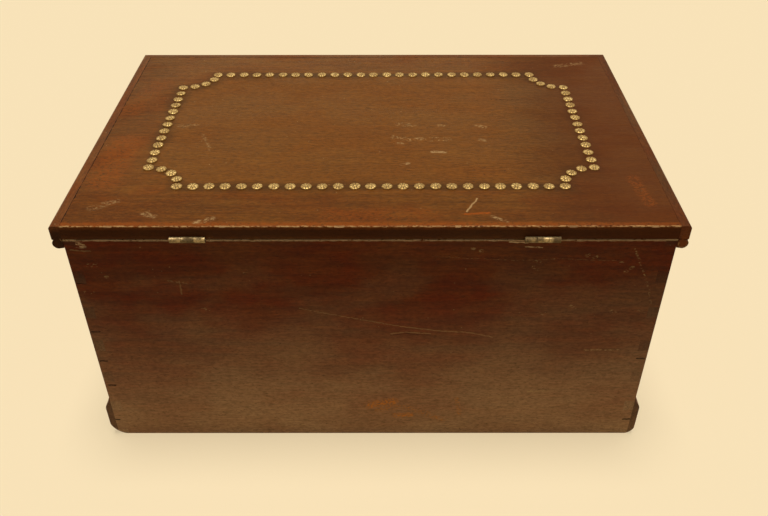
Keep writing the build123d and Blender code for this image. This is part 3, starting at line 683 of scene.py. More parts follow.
@dataclass
class PaleFloor(Finish):
    """Plain matt floor, lit only round the box, which the camera and reflections see without its end."""

    colour: str
    half: tuple[float, float]  # half the box's width and depth, in millimetres
    sheet: float = 240.0  # how far the lit sheet reaches round the box
    fade: float = 200.0
    beyond: float = 0.06  # share of its light that the floor gives back past the sheet
    lift: float = 0.6  # share of its colour that it shows in full shade

    def build(self) -> Material:
        """Make the material.

        Returns:
            The material.
        """
        add = self.add
        folded = add(VECTOR_MATH, {0: self.spot}, operation="ABSOLUTE")
        over = add(VECTOR_MATH, {0: folded, 1: (*self.half, 1.0)}, operation="SUBTRACT")
        over = add(VECTOR_MATH, {0: over, 1: (0, 0, 0)}, operation="MAXIMUM")
        gap = add(VECTOR_MATH, {0: over}, out="Value", operation="LENGTH")
        far = {"Value": gap, "From Min": self.sheet, "From Max": self.sheet + self.fade, "To Min": 1.0}
        light = add(MAP_RANGE, {**far, "To Max": self.beyond})
        seen = background_rays(add)
        light = add(MATH, {0: light, 1: seen}, operation="MAXIMUM")
        glow = add(MATH, {0: seen, 1: self.lift}, operation="MULTIPLY")
        light = add(MATH, {0: light, 1: glow}, operation="SUBTRACT")
        paint = linear(self.colour)
        colour = add(VECTOR_MATH, {0: paint[:3], "Scale": light}, operation="SCALE")
        look = {"Base Color": colour, "Roughness": 1.0, "Specular IOR Level": 0.0}
        return self.finished({**look, "Emission Color": paint, "Emission Strength": glow})


def mesh_data(mesh: Mesh, name: str) -> bpy.types.Mesh:
    """Write a mesh into new mesh data and free it.

    Args:
        mesh: Mesh that is done with.
        name: Name of the data.

    Returns:
        The data.
    """
    data = bpy.data.meshes.new(name)
    mesh.to_mesh(data)
    mesh.free()
    return data


def put(name: str, data: bpy.types.ID) -> bpy.types.Object:
    """Put a new object with this data in the scene.

    Args:
        name: Name of the object.
        data: Mesh, lamp or camera.

    Returns:
        The object.
    """
    thing = bpy.data.objects.new(name, data)
    bpy.context.scene.collection.objects.link(thing)
    return thing


def turned(profile: list[tuple[float, float]], steps: int, weld: float) -> Mesh:
    """Turn a profile round the Z axis, as on a lathe.

    Args:
        profile: Radius and height of its points, in millimetres.
        steps: Faces round the axis.
        weld: Points nearer to each other than this become one.

    Returns:
        The mesh, in millimetres.
    """
    mesh = bmesh.new()
    line = [mesh.verts.new((radius, 0, height)) for radius, height in profile]
    line += [mesh.edges.new(pair) for pair in zip(line, line[1:])]
    around = {"cent": (0, 0, 0), "axis": (0, 0, 1), "angle": 2 * math.pi}
    bmesh.ops.spin(mesh, geom=line, **around, steps=steps, use_merge=True)
    bmesh.ops.remove_doubles(mesh, verts=mesh.verts, dist=weld)
    return mesh


def stamp(mesh: Mesh, pattern: bpy.types.Mesh, place: Matrix) -> None:
    """Add a copy of a pattern to a mesh.

    Args:
        mesh: Mesh that gets the copy.
        pattern: Mesh data of the pattern.
        place: Matrix that lays the copy in its place.
    """
    first = len(mesh.verts)
    mesh.from_mesh(pattern)
    mesh.verts.ensure_lookup_table()
    bmesh.ops.transform(mesh, matrix=place, verts=mesh.verts[first:])


@dataclass
class Frame:
    """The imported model: its CAD nodes, and the helpers that turn them into finished pieces."""

    nodes: dict[str, bpy.types.Object]
    broad: float = 3.0  # faces wider than this are flat

    def dress(self, node: str, material: Material) -> None:
        """Give a CAD node that stays in view its material.

        Args:
            node: CAD node.
            material: Its material.
        """
        for place in self.nodes[node].material_slots:
            place.material = material
        LOG.info("dressed %s", node)

    def merged(self, node: str) -> Mesh:
        """Copy a CAD node's mesh and join its loose triangles into whole faces.

        Args:
            node: CAD node.

        Returns:
            The copy, in metres.
        """
        mesh = bmesh.new()
        mesh.from_mesh(self.nodes[node].data)
        bmesh.ops.remove_doubles(mesh, verts=mesh.verts, dist=0.001 * MM)
        bmesh.ops.dissolve_limit(mesh, angle_limit=math.radians(0.5), verts=mesh.verts, edges=mesh.edges)
        return mesh

    def finish_piece(
        self,
        mesh: Mesh,
        name: str,
        materials: list[Material],
        body: Body,
        replaced: tuple[str, ...],
        slot: str,
        smooth_below: float = 22.0,
    ) -> None:
        """Turn a mesh into a piece that rides on a body and stands for CAD nodes.

        Args:
            mesh: Mesh in the row frame, in metres.
            name: Name of the piece.
            materials: Materials in the order of the faces' material places.
            body: Body that it rides on.
            replaced: CAD nodes that it stands for.
            slot: Name of a material slot; not used.
            smooth_below: Faces that meet at less than this angle look smooth.
        """
        narrow = [
            face.calc_area() < self.broad * MM * max(edge.calc_length() for edge in face.edges)
            for face in mesh.faces
        ]
        data = mesh_data(mesh, name)
        for material in materials:
            data.materials.append(material)
        data.set_sharp_from_angle(angle=math.radians(smooth_below))
        data.polygons.foreach_set("use_smooth", narrow)
        piece = put(name, data)
        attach(piece, body.value)
        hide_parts(*replaced)
        LOG.info("%s stands for %s", name, ", ".join(replaced))


@dataclass(frozen=True)
class Chip:
    """A splinter broken out of an arris, in millimetres."""

    place: Point  # on the arris
    length: float
    axis: Grain
    bite: float
    reach: float = 3.0  # how far from the arris it can lie

    def depth(self, spot: Vector) -> float:
        """How deep the chip goes at a point.

        Args:
            spot: Point near the arris, in millimetres.

        Returns:
            The depth in millimetres, nought outside the chip.
        """
        away = spot - Vector(self.place)
        along = abs(away[self.axis.value]) / (self.length / 2)
        away[self.axis.value] = 0.0
        if along >= 1.0 or away.length > self.reach:
            return 0.0
        return self.bite * (1.0 - along**3) * (0.75 + 0.9 * noise.noise(spot * 0.9))

    def touches(self, edge: bmesh.types.BMEdge) -> bool:
        """Whether the chip touches an edge.

        Args:
            edge: Edge of a mesh in metres.

        Returns:
            True where the edge runs through the chip.
        """
        axis, ends = self.axis.value, [vert.co / MM for vert in edge.verts]
        low, high = sorted(end[axis] for end in ends)
        away = (ends[0] + ends[1]) / 2 - Vector(self.place)
        away[axis] = 0.0
        centre, half = self.place[axis], self.length / 2
        return away.length < self.reach and low < centre + half and high > centre - half


def splinters(depth: float, height: float, *rows: tuple[float, float, float]) -> tuple[Chip, ...]:
    """Chips along an arris that runs along X, from the x, length and bite of each."""
    return tuple(Chip((x, depth, height), length, Grain.ALONG_X, bite) for x, length, bite in rows)


@dataclass(frozen=True)
class Arris:
    """How the rounded edges of a wooden piece are worn, in millimetres."""

    wear: float = 0.5  # how deep it is worn in places
    patch: float = 25.0  # length of a worn place
    rounding: float = 1.4  # faces narrower than this belong to the rounded edge
    kink: float = 3.0  # degrees between the two faces of an edge that is cut up
    run: float = 14.0
    fine_run: float = 1.2  # run along a chip
    crumbled: float = 0.25  # depth from which a chip shows broken wood
    chips: tuple[Chip, ...] = ()

    def wear_down(self, mesh: Mesh) -> None:
        """Wear the rounded edges unevenly and break the chips out, which get the material place BROKEN.

        Args:
            mesh: Mesh of the piece, in metres.
        """
        for run, chipped in ((self.run, False), (self.fine_run, True)):
            lines = [
                edge
                for edge in mesh.edges
                if len(edge.link_faces) == 2
                and edge.calc_length() > run * 1.5 * MM
                and edge.calc_face_angle(0.0) > math.radians(self.kink)
                and (not chipped or any(chip.touches(edge) for chip in self.chips))
            ]
            counts = {edge: round(edge.calc_length() / (run * MM)) - 1 for edge in lines}
            for cuts in sorted(set(counts.values()) - {0}):
                group = [edge for edge in lines if counts[edge] == cuts]
                cut = bmesh.ops.subdivide_edges(mesh, edges=group, cuts=cuts, use_grid_fill=True)
                # the cuts that it draws across broad faces go, as they would fold them
                inner = [edge for edge in cut["geom_inner"] if isinstance(edge, bmesh.types.BMEdge)]
                across = [edge for edge in inner if not any(self.narrow(face) for face in edge.link_faces)]
                bmesh.ops.dissolve_edges(mesh, edges=across)
        mesh.normal_update()
        moves = {vert: self.move(vert) for vert in mesh.verts}
        for vert, (step, chip) in moves.items():
            vert.co += step
            if chip > self.crumbled:
                for face in filter(self.narrow, vert.link_faces):
                    face.material_index = Surface.BROKEN.value

    def narrow(self, face: bmesh.types.BMFace) -> bool:
        """Whether a face belongs to a rounded edge."""
        lengths = sorted(edge.calc_length() for edge in face.edges)
        return len(lengths) == 4 and lengths[1] < self.rounding * MM

    def move(self, vert: bmesh.types.BMVert) -> tuple[Vector, float]:
        """How far a point of a rounded edge is worn in, in the plane of the broad face that it bounds.

        Args:
            vert: Point of the mesh.

        Returns:
            Its step in metres, and how deep a chip goes there in millimetres.
        """
        still = Vector((0, 0, 0)), 0.0
        strips = [face for face in vert.link_faces if self.narrow(face)]
        broad = [face.normal for face in vert.link_faces if not self.narrow(face)]
        if len(strips) < 2 or any(side.dot(broad[0]) < 0.999 for side in broad):
            return still
        spot = vert.co / MM
        chip = max((chip.depth(spot) for chip in self.chips), default=0.0)
        depth = max(0.0, noise.noise(spot / self.patch) + 0.15) * self.wear + max(0.0, chip)
        inward = -vert.normal
        if broad:
            inward = inward - inward.dot(broad[0]) * broad[0]
            depth *= 0.8
        if inward.length < 0.1:
            return still
        return inward.normalized() * depth * MM, chip


@dataclass
class Moulding:
    """A moulding along the front and both ends, cut off at the back, where its end grain shows."""

    frame: Frame
    nodes: str  # start of the CAD nodes' names
    names: str  # start of the pieces' names
    body: Body
    slot: str
    wear: float = 0.4

    def build(self, polish: dict, bare: Material, end_grain: Material) -> None:
        """Make and dress the three strips.

        Args:
            polish: Colours and other fields of their polish.
            bare: Material of their hidden backs.
            end_grain: Material of their cut ends.
        """
        for end, grain in (("front", Grain.ALONG_X), ("left", Grain.ALONG_Y), ("right", Grain.ALONG_Y)):
            node = f"{self.nodes}_{end}"
            materials = [FrenchPolish(f"{node}_polish", grain, **polish).build(), bare, end_grain]
            mesh = self.frame.merged(node)
            Arris(wear=self.wear).wear_down(mesh)
            for face in mesh.faces:
                if grain is Grain.ALONG_Y and face.normal.y < -0.9:
                    face.material_index = Surface.END_GRAIN.value
            self.frame.finish_piece(mesh, f"{self.names}_{end}", materials, self.body, (node,), self.slot)


@dataclass
class Case:
    """The four dovetailed boards, polished outside and bare inside, and the moulding round their foot."""

    frame: Frame
    slack: float = 0.01  # how near to an inner face a face counts as inside

    def build(self) -> None:
        """Make and dress the boards and the moulding."""
        self.boards()
        self.foot()

    def boards(self) -> None:
        """Make and dress the four boards."""
        low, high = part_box("back_board")
        rear, board = low.y / MM, (high.y - low.y) / MM
        side, top = high.x / MM, high.z / MM
        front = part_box("front_board")[1].y / MM
        tones = {"light": "#7f4115", "red": "#7b2e07", "deep": "#3e1604"}
        end_tones = {"light": "#66320f", "red": "#612406", "deep": "#2e0f03"}
        # lighter and duller towards the floor: worn polish and painted floor light,
        # more on the back and its end grain than on the front and ends
        floor_lit = {"foot_height": 275.0, "foot_lightening": 0.86, "faded": "#b08b60"}
        shaded = {**tones, "foot_height": 240.0, "foot_lightening": 0.5, "faded": "#a5784a"}
        # pale line along the back board's top arris: worn wood, brightened as a painted highlight
        arris = Mark((-side, rear, top), (side, rear, top), 3.1, Tone.DRY_AND_HIGHLIGHT, 0.85, 0.33)
        end_grain = FrenchPolish("end_grain_polish", Grain.END, **end_tones, **floor_lit, marks=(arris,)).build()
        floor_lit = {**tones, **floor_lit, "rust": "#c8782c", "marks": (arris, *self.rear_marks(rear))}
        rear_polish = FrenchPolish("floor_lit_french_polish_on_mahogany", Grain.ALONG_X, **floor_lit).build()
        front_polish = FrenchPolish("french_polish_on_mahogany", Grain.ALONG_X, **shaded).build()
        end_polish = FrenchPolish("french_polish_on_mahogany_of_ends", Grain.ALONG_Y, **shaded).build()
        bare = BareWood("bare_mahogany", Grain.ALONG_X, "#70492a", "#54351f", "#33200f").build()
        bare_end = BareWood("bare_mahogany_of_ends", Grain.ALONG_Y, "#6d4729", "#50321d", "#33200f").build()
        broken = BareWood("splintered_mahogany", Grain.ALONG_X, "#cfa672", "#a87c4a", "#7a5430").build()
        rear_top = (-293, 9.0, 1.3), (-284, 4.0, 0.9), (153, 15.0, 1.1), (196, 6.0, 0.9), (-120, 6.0, 0.7)
        rear_chips = splinters(rear, top, *rear_top, (40, 8.0, 0.7)) + splinters(rear, 0, (262, 12.0, 1.0))
        front_chips = splinters(front, top, (-210, 8.0, 0.8), (150, 5.0, 0.8))
        left_chip = Chip((-side, 40, top), 7.0, Grain.ALONG_Y, 0.8)
        right_chip = Chip((side, -60, top), 6.0, Grain.ALONG_Y, 0.8)
        inner = Vector((side - board, front - board, 0)) * MM
        inner_rear = (rear + board) * MM
        slack = self.slack * MM
        for name, polish, plain, grain, chips in (
            ("back", rear_polish, bare, Grain.ALONG_X, rear_chips),
            ("front", front_polish, bare, Grain.ALONG_X, front_chips),
            ("left_end", end_polish, bare_end, Grain.ALONG_Y, (left_chip,)),
            ("right_end", end_polish, bare_end, Grain.ALONG_Y, (right_chip,)),
        ):
            node = f"{name}_board"
            mesh = self.frame.merged(node)
            Arris(chips=chips).wear_down(mesh)
            for face in mesh.faces:
                if face.material_index == Surface.BROKEN.value:
                    continue
                spot = face.calc_center_median()
                inside = abs(spot.x) < inner.x + slack and inner_rear - slack < spot.y < inner.y + slack
                inside = inside or spot.z > top * MM - slack
                cut_across = abs(face.normal[grain.value]) > 0.9
                surface = Surface.BARE if inside else Surface.END_GRAIN if cut_across else Surface.POLISHED
                face.material_index = surface.value
            materials = [polish, plain, end_grain, broken]
            self.frame.finish_piece(mesh, f"{name}_boarding", materials, Body.CASE, (node,), "case_wood")

    def foot(self) -> None:
        """Make and dress the moulding round the foot."""
        # the strips and their end grain grow lighter towards the floor: painted floor light, with worn polish
        tones = {"light": "#573219", "red": "#522812", "deep": "#2c150a", "foot_height": 90.0}
        end_grain = FrenchPolish("base_strip_end_grain", Grain.END, **tones).build()
        bare = BareWood("bare_strip_back", Grain.ALONG_X, "#6b4a2e", "#4d3320", "#2e1d12").build()
        tones = {"light": "#744422", "red": "#6f3314", "deep": "#3d1c0c", "foot_height": 90.0}
        moulding = Moulding(self.frame, "base_moulding", "base_strip", Body.CASE, "base_wood")
        moulding.build(tones, bare, end_grain)

    @staticmethod
    def rear_marks(rear: float) -> list[Mark]:
        """Marks on the back board.

        Args:
            rear: Depth of its face.

        Returns:
            The marks.
        """
        marks = marks_on(REAR_MARKS, lambda x, z: (x, rear, z))
        for start, end, look, spots in REAR_FLECKS:
            for x, z in spots:
                marks.append(Mark((x + start[0], rear, z + start[1]), (x + end[0], rear, z + end[1]), *look))
        return marks


@dataclass
class Lid:
    """Lid board and the moulding round three of its edges."""

    frame: Frame

    def build(self) -> None:
        """Make and dress the board and the three strips."""
        low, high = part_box("lid_board")
        rear, top = low.y / MM, high.z / MM
        front, side = high.y / MM, high.x / MM
        tones = {"light": "#764513", "red": "#70390b", "deep": "#4c2406", "rust": "#9a4a10"}
        marks = tuple(self.top_marks(rear, front, side, top))
        worn = {"marks": marks, "ring": RingShape.of_frame()}
        polish = FrenchPolish("lid_polish", Grain.ALONG_X, **tones, **worn).build()
        bare = BareWood("bare_lid_underside", Grain.ALONG_X, "#7f5833", "#5d3e25", "#392411").build()
        broken = BareWood("splintered_lid_edge", Grain.ALONG_X, "#c79a62", "#9c6f40", "#744c28").build()
        mesh = self.frame.merged("lid_board")
        rows = (-262, 9, 0.7), (-148, 7, 0.6), (-31, 12, 0.7), (88, 6, 0.6), (203, 10, 0.7), (285, 8, 0.7)
        Arris(chips=splinters(rear, top, *rows)).wear_down(mesh)
        for face in mesh.faces:
            if face.material_index != Surface.BROKEN.value:
                face.material_index = (Surface.BARE if face.normal.z < -0.5 else Surface.POLISHED).value
        materials = [polish, bare, polish, broken]
        self.frame.finish_piece(mesh, "lid_top_board", materials, Body.LID, ("lid_board",), "lid_wood")
        tones = {"light": "#9a5a2a", "red": "#8a461d", "deep": "#4e2610", "marks": self.end_marks(rear)}
        end_grain = FrenchPolish("lid_strip_end_grain", Grain.END, **tones).build()
        # painted shade down the right-hand strip, laid in the dirt tone
        shade = Mark((side + 6, rear, top), (side + 6, front, top), 30.0, Tone.DIRT, 0.34, 0.0)
        tones = {"light": "#74431b", "red": "#6c340f", "deep": "#40200b", "marks": (shade,)}
        moulding = Moulding(self.frame, "lid_moulding", "lid_edge_strip", Body.LID, "moulding_wood")
        moulding.build(tones, bare, end_grain)

    @staticmethod
    def end_marks(rear: float) -> list[Mark]:
        """Marks on the cut ends of the two side strips.

        Args:
            rear: Depth of the cut ends.

        Returns:
            The marks.
        """
        low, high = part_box("lid_moulding_right")
        bead = (high.x - low.x) / 2 / MM
        x, z = high.x / MM - bead, low.z / MM
        turns = [math.radians(angle) for angle in (-200, -160, -120, -80, -40, 0, 30)]
        line = [(x + math.cos(t) * bead * 0.86, z + bead + math.sin(t) * bead * 0.86) for t in turns]
        rows = {
            Tone.RAW: ((line, 1.1, 0.8, 0.42), (((3 - x, z + 12), (5 - x, z + 9)), 0.8, 0.6, 0.4)),
            Tone.RUST: ((((x, z + bead), (x + 1, z + bead + 9)), 5.5, 0.6, 0.4),),
            Tone.DIRT: (
                # a dark line across the right strip's end at the quirk above the bead
                (((x - 5, z + 12), (x + 4, z + 11)), 1.2, 0.9, 0.2),
                # painted shade over the end of the left strip
                (((-x, z + 3), (2 - x, z + 14)), 16.0, 0.78, 0.0),
            ),
        }
        return marks_on(rows, lambda across, up: (across, rear, up))

    @staticmethod
    def top_marks(rear: float, front: float, side: float, top: float) -> list[Mark]:
        """Marks on the lid board.

        Args:
            rear: Depth of the board's back edge.
            front: Depth of its front edge.
            side: Half its width.
            top: Height of its top.

        Returns:
            The marks.
        """
        # worn back edge, dirt in the seams to the moulding, and wide soft painted shade without breaks
        edges = {
            Tone.RAW: ((((-side, rear + 0.2), (side, rear + 0.2)), 1.5, 0.95, 0.4),),
            Tone.DIRT: (
                (((-side, rear), (-side, front)), 1.5, 1.0, 0.05),
                (((side, rear), (side, front)), 1.5, 1.0, 0.05),
                (((-side, front), (side, front)), 1.5, 1.0, 0.05),
                # painted shade over the right and left sides and towards the back
                (((320, rear), (320, front)), 200.0, 0.66, 0.0),
                (((-320, rear), (-320, front)), 80.0, 0.2, 0.0),
                (((-side, -185), (side, -185)), 50.0, 0.14, 0.0),
            ),
            Tone.RUST: (
                (((-side, rear + 3), (side, rear + 3)), 7.0, 0.5, 0.36),
                # orange over the right side, part of its painted shade
                (((320, rear), (320, front)), 150.0, 0.17, 0.0),
            ),
        }
        marks = [mark for rows in (edges, LID_MARKS) for mark in marks_on(rows, lambda x, y: (x, y, top))]
        # painted shade over the lid's back edge, with a little orange ground colour
        for tone, strength in ((Tone.DIRT, 0.66), (Tone.RUST, 0.08)):
            marks.append(Mark((-side, rear, top - 8), (side, rear, top - 8), 9.5, tone, strength, 0.0))
        return marks


@dataclass
class NailRing:
    """Brass nails with eight petals round a boss, in a ring with scooped corners."""

    frame: Frame
    height: float = 1.95
    petals: int = 8
    steps: int = 48
    boss: float = 0.27  # share of the radius, as are the next three
    rim: float = 0.72
    blend: float = 0.1  # width over which the grooves begin
    moat: float = 0.05  # width of the dirty hollow round the boss
    pinch: float = 0.06  # how far the grooves draw the rim in
    groove: float = 0.4  # share of the height
    wander: float = 0.35  # how far a nail stands from its place
    lean: float = 3.0  # degrees
    shank: float = 1.6
    shank_length: float = 10.8
    seed: int = 7
    # radius and height of the head's outline, as shares of its radius and height
    profile: tuple[tuple[float, float], ...] = (
        *((0.0, 1.0), (0.13, 0.97), (0.21, 0.86), (0.27, 0.72), (0.34, 0.86), (0.5, 0.92)),
        *((0.7, 0.85), (0.87, 0.7), (0.97, 0.55), (1.0, 0.42), (1.0, 0.0)),
    )

    def build(self) -> None:
        """Set a nail at every place of every CAD row."""
        tones = {"bright": "#bb9e62", "film": "#846130", "dirt": "#261606", "relief": "relief"}
        film = {"film_size": 5.0, "film_share": 0.6, "dirt_share": 0.15, "metallic": 0.85, "roughness": 0.4}
        brass = OldMetal("stamped_nail_brass", **tones, **film).build()
        draws = random.Random(self.seed)
        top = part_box("lid_board")[1].z / MM
        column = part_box("right_column_studs")
        pattern = self.rosette((column[1].x - column[0].x) / 2 / MM)
        for row in ("rear_row", "front_row", "left_column", "right_column", "corner"):
            node = f"{row}_studs"
            mesh = bmesh.new()
            for place in self.places(node):
                shift = Vector((draws.uniform(-1, 1), draws.uniform(-1, 1), 0)) * self.wander
                turn = Matrix.Rotation(draws.uniform(0, 2 * math.pi), 4, "Z")
                leans = [math.radians(draws.uniform(-1, 1) * self.lean) for _ in "XY"]
                tilts = [Matrix.Rotation(angle, 4, axis) for angle, axis in zip(leans, "XY")]
                size = Matrix.Scale(draws.uniform(1.0, 1.05), 4)
                at = Matrix.Translation(Vector((place.x, place.y, top)) + shift)
                stamp(mesh, pattern, Matrix.Scale(MM, 4) @ at @ tilts[0] @ tilts[1] @ turn @ size)
            self.frame.finish_piece(mesh, f"{row}_rosettes", [brass], Body.LID, (node,), "stud_brass", 40.0)
        bpy.data.meshes.remove(pattern)

    def rosette(self, radius: float) -> bpy.types.Mesh:
        """One nail at the origin, in millimetres.

        Args:
            radius: Radius of the head.

        Returns:
            Its mesh, with the layer "relief" that the brass reads.
        """
        mesh = turned([(x * radius, z * self.height) for x, z in self.profile], self.steps, 0.01)
        relief = mesh.verts.layers.float.new("relief")
        for vert in mesh.verts:
            self.press(vert, radius, relief)
        bmesh.ops.contextual_create(mesh, geom=[edge for edge in mesh.edges if edge.is_boundary])
        bmesh.ops.create_cone(
            mesh,
            cap_ends=True,
            segments=4,
            radius1=self.shank * 0.15,
            radius2=self.shank * 0.7,
            depth=self.shank_length,
            matrix=Matrix.Translation((0, 0, -self.shank_length / 2)) @ Matrix.Rotation(math.pi / 4, 4, "Z"),
        )
        bmesh.ops.recalc_face_normals(mesh, faces=mesh.faces)
        return mesh_data(mesh, "rosette")

    def press(self, vert: bmesh.types.BMVert, radius: float, relief: bmesh.types.BMLayerItem) -> None:
        """Press the petals into one point of the head.

        Args:
            vert: Point of the turned head.
            radius: Radius of the head.
            relief: Layer that notes how high the point stands for the finish.
        """
        reach = math.hypot(vert.co.x, vert.co.y) / radius
        petal = abs(math.sin(math.atan2(vert.co.y, vert.co.x) * self.petals / 2)) ** 0.5
        groove = (1.0 - petal) * max(0.0, min(1.0, (reach - self.boss) / self.blend))
        rim = max(0.0, (reach - self.rim) / (1.0 - self.rim))
        vert.co.z *= 1.0 - self.groove * groove * (1.0 - 0.6 * rim)
        squeeze = 1.0 - self.pinch * groove * reach**3
        vert.co.x *= squeeze
        vert.co.y *= squeeze
        moat = math.exp(-(((reach - self.boss) / self.moat) ** 2))
        vert[relief] = max(0.0, 1.0 - 0.95 * groove * (1.0 - 0.75 * rim) - 0.6 * moat)

    def places(self, node: str) -> list[Vector]:
        """Centres of a CAD node's nails in millimetres, found from its heads.

        Args:
            node: CAD node that holds a row of nails.

        Returns:
            The centres.
        """
        mesh = self.frame.merged(node)
        centres: list[Vector] = []
        for face in mesh.faces:
            middle = face.calc_center_median() / MM
            if face.normal.z > 0.99 and all((middle - other).length > 2 for other in centres):
                centres.append(middle)
        mesh.free()
        return centres


@dataclass
class WoodScrews:
    """Slotted countersunk wood screws with a thread, in place of the CAD screws."""

    frame: Frame
    head: float = 2.1  # radius
    rim: float = 0.2
    shank: float = 1.1  # radius
    core: float = 0.72  # radius between the threads
    pitch: float = 1.1
    plain: float = 2.6  # length from the head down to the thread
    point: float = 1.6  # length of the gimlet point
    sink: float = 82.0  # degrees
    slot_width: float = 0.55
    slot_depth: float = 0.65
    steps: int = 16
    seed: int = 11

    def build(self) -> None:
        """Set a screw in place of every CAD screw."""
        tones = "#7a736b", "#4a3a2e", "#1c1410"
        iron = OldMetal("browned_screw_iron", *tones, roughness=0.5, film_size=2.0).build()
        tones = "#b8985c", "#7a6238", "#2a1d0e"
        brass = OldMetal("screw_brass_old", *tones, roughness=0.42, film_size=2.0).build()
        draws = random.Random(self.seed)
        for side in ("left", "right"):
            self.set_row(f"hinge_{side}_case", Body.CASE, (0, 0, 1), iron, draws)
            self.set_row(f"hinge_{side}_lid", Body.LID, (0, 0, -1), iron, draws)
        self.set_row("lock", Body.CASE, (0, -1, 0), brass, draws)
        self.set_row("link_plate", Body.LID, (0, 0, -1), brass, draws)

    def set_row(self, row: str, body: Body, up: Point, metal: Material, draws: random.Random) -> None:
        """Set the screws of one CAD node.

        Args:
            row: What the screws hold, with which the names begin.
            body: Body that they ride on.
            up: Direction that their heads face.
            metal: Their material.
            draws: Draws for how each is turned.
        """
        node, axis = f"{row}_screws", Vector(up)
        solid = self.frame.merged(node)
        heads = [face.calc_center_median() for face in solid.faces if face.normal.dot(axis) > 0.99]
        reach = [vert.co.dot(axis) for vert in solid.verts]
        solid.free()
        pattern = self.screw((max(reach) - min(reach)) / MM)
        mesh = bmesh.new()
        lay = Vector((0, 0, 1)).rotation_difference(axis).to_matrix().to_4x4()
        for place in heads:
            turn = Matrix.Rotation(draws.uniform(0, math.pi), 4, "Z")
            stamp(mesh, pattern, Matrix.Translation(place) @ lay @ turn @ Matrix.Scale(MM, 4))
        bpy.data.meshes.remove(pattern)
        self.frame.finish_piece(mesh, f"{row}_wood_screws", [metal], body, (node,), "screw_iron", 35.0)

    def screw(self, length: float) -> bpy.types.Mesh:
        """One screw with its head upwards at the origin, in millimetres.

        Args:
            length: Length with the head.

        Returns:
            Its mesh.
        """
        drop = self.rim + (self.head - self.shank) / math.tan(math.radians(self.sink / 2))
        rings = int((length - self.plain) / self.pitch * 4)
        step = (length - self.plain) / rings
        threads = [(self.core, -self.plain - step * ring) for ring in range(1, rings)]
        profile = [(0, 0), (self.head, 0), (self.head, -self.rim), (self.shank, -drop)]
        profile += [(self.shank, -self.plain), *threads, (0, -length)]
        mesh = turned(profile, self.steps, 0.005)
        for vert in mesh.verts:
            depth = -vert.co.z
            if self.plain < depth < length:
                turn = (depth / self.pitch + math.atan2(vert.co.y, vert.co.x) / (2 * math.pi)) % 1.0
                crest = max(0.0, 1.0 - abs(turn - 0.5) * 4.0)
                taper = min(1.0, (length - depth) / self.point)
                radius = (self.core + (self.shank - self.core) * crest) * taper
                vert.co.xy = vert.co.xy.normalized() * radius
        bmesh.ops.recalc_face_normals(mesh, faces=mesh.faces)
        return self.slotted(mesh)

    def slotted(self, mesh: Mesh) -> bpy.types.Mesh:
        """Cut the slot into a screw's head.

        Args:
            mesh: The screw, which is freed.

        Returns:
            Its mesh with the slot.
        """
        slot = bmesh.new()
        bmesh.ops.create_cube(slot, size=1.0)
        bmesh.ops.scale(slot, vec=(self.head * 3, self.slot_width, self.slot_depth * 2), verts=slot.verts)
        pair = [put("carving", mesh_data(part, "carving")) for part in (mesh, slot)]
        cut = pair[0].modifiers.new("cut", "BOOLEAN")
        cut.object = pair[1]
        cut.operation = "DIFFERENCE"
        cut.solver = "EXACT"
        bpy.context.view_layer.update()
        result = bmesh.new()
        result.from_object(pair[0], bpy.context.evaluated_depsgraph_get())
        for data in [part.data for part in pair]:
            bpy.data.meshes.remove(data)
        return mesh_data(result, "screw")


@dataclass
class Hardware:
    """Hinges and lock, with their edges eased, and the fixings that stay as they are."""

    frame: Frame
    easing: float = 0.12
    shortest: float = 0.6  # length of the shortest edge that is eased

    def build(self) -> None:
        """Make and dress the metal parts and the bottom board."""
        tones = {"bright": "#b39a6c", "film": "#6a5638", "dirt": "#20160c"}
        film = {"film_size": 9.0, "film_share": 0.9, "dirt_share": 0.45, "metallic": 0.85, "roughness": 0.42}
        brass = OldMetal("tarnished_hinge_brass", **tones, **film).build()
        lock_brass = OldMetal("old_lock_brass", "#c4a05a", "#8a6c3a", "#2c2010", film_size=7.0).build()
        steel = OldMetal("blued_lock_steel", "#8a8782", "#4c4a4a", "#1d1916", film_size=5.0).build()
        tones = {"bright": "#4a3528", "film": "#33221a", "dirt": "#120c08", "metallic": 0.5, "roughness": 0.7}
        rust = OldMetal("rusted_brad_iron", **tones, film_size=2.0).build()
        deal = BareWood("planed_deal", Grain.ALONG_X, "#94704a", "#6f4d2c", "#4a3220").build()
        for side in ("left", "right"):
            for leaf, body in (("case", Body.CASE), ("lid", Body.LID)):
                self.eased(f"hinge_{side}_{leaf}_leaf", brass, body, "hinge_brass")
        for node in ("lock_plate", "lock_box", "escutcheon"):
            self.eased(node, lock_brass, Body.CASE, "lock_brass")
        self.eased("link_plate", lock_brass, Body.LID, "lock_brass")
        self.eased("lock_bolt", lock_brass, Body.BOLT, "lock_brass")
        for material, nodes in (
            (steel, ("hinge_left_pin", "hinge_right_pin", "lock_spring", "key_pin")),
            (rust, ("base_moulding_brads", "lid_moulding_brads")),
            (deal, ("bottom_board",)),
        ):
            for node in nodes:
                self.frame.dress(node, material)

    def eased(self, node: str, metal: Material, body: Body, slot: str) -> None:
        """Put a copy with a small bevel on its sharp edges in place of a CAD node.

        Args:
            node: CAD node.
            metal: Its material.
            body: Body that it rides on.
            slot: Name of a material slot, handed on to finish_piece.
        """
        mesh = self.frame.merged(node)
        edges = [
            edge
            for edge in mesh.edges
            if len(edge.link_faces) == 2
            and edge.calc_length() > self.shortest * MM
            and edge.calc_face_angle(0.0) > math.radians(30.0)
            and edge.is_convex
        ]
        bmesh.ops.bevel(
            mesh,
            geom=edges,
            offset=self.easing * MM,
            offset_type="OFFSET",
            segments=2,
            profile=0.5,
            affect="EDGES",
            material=-1,
            clamp_overlap=True,
        )
        self.frame.finish_piece(mesh, f"{node}_eased", [metal], body, (node,), slot, 35.0)


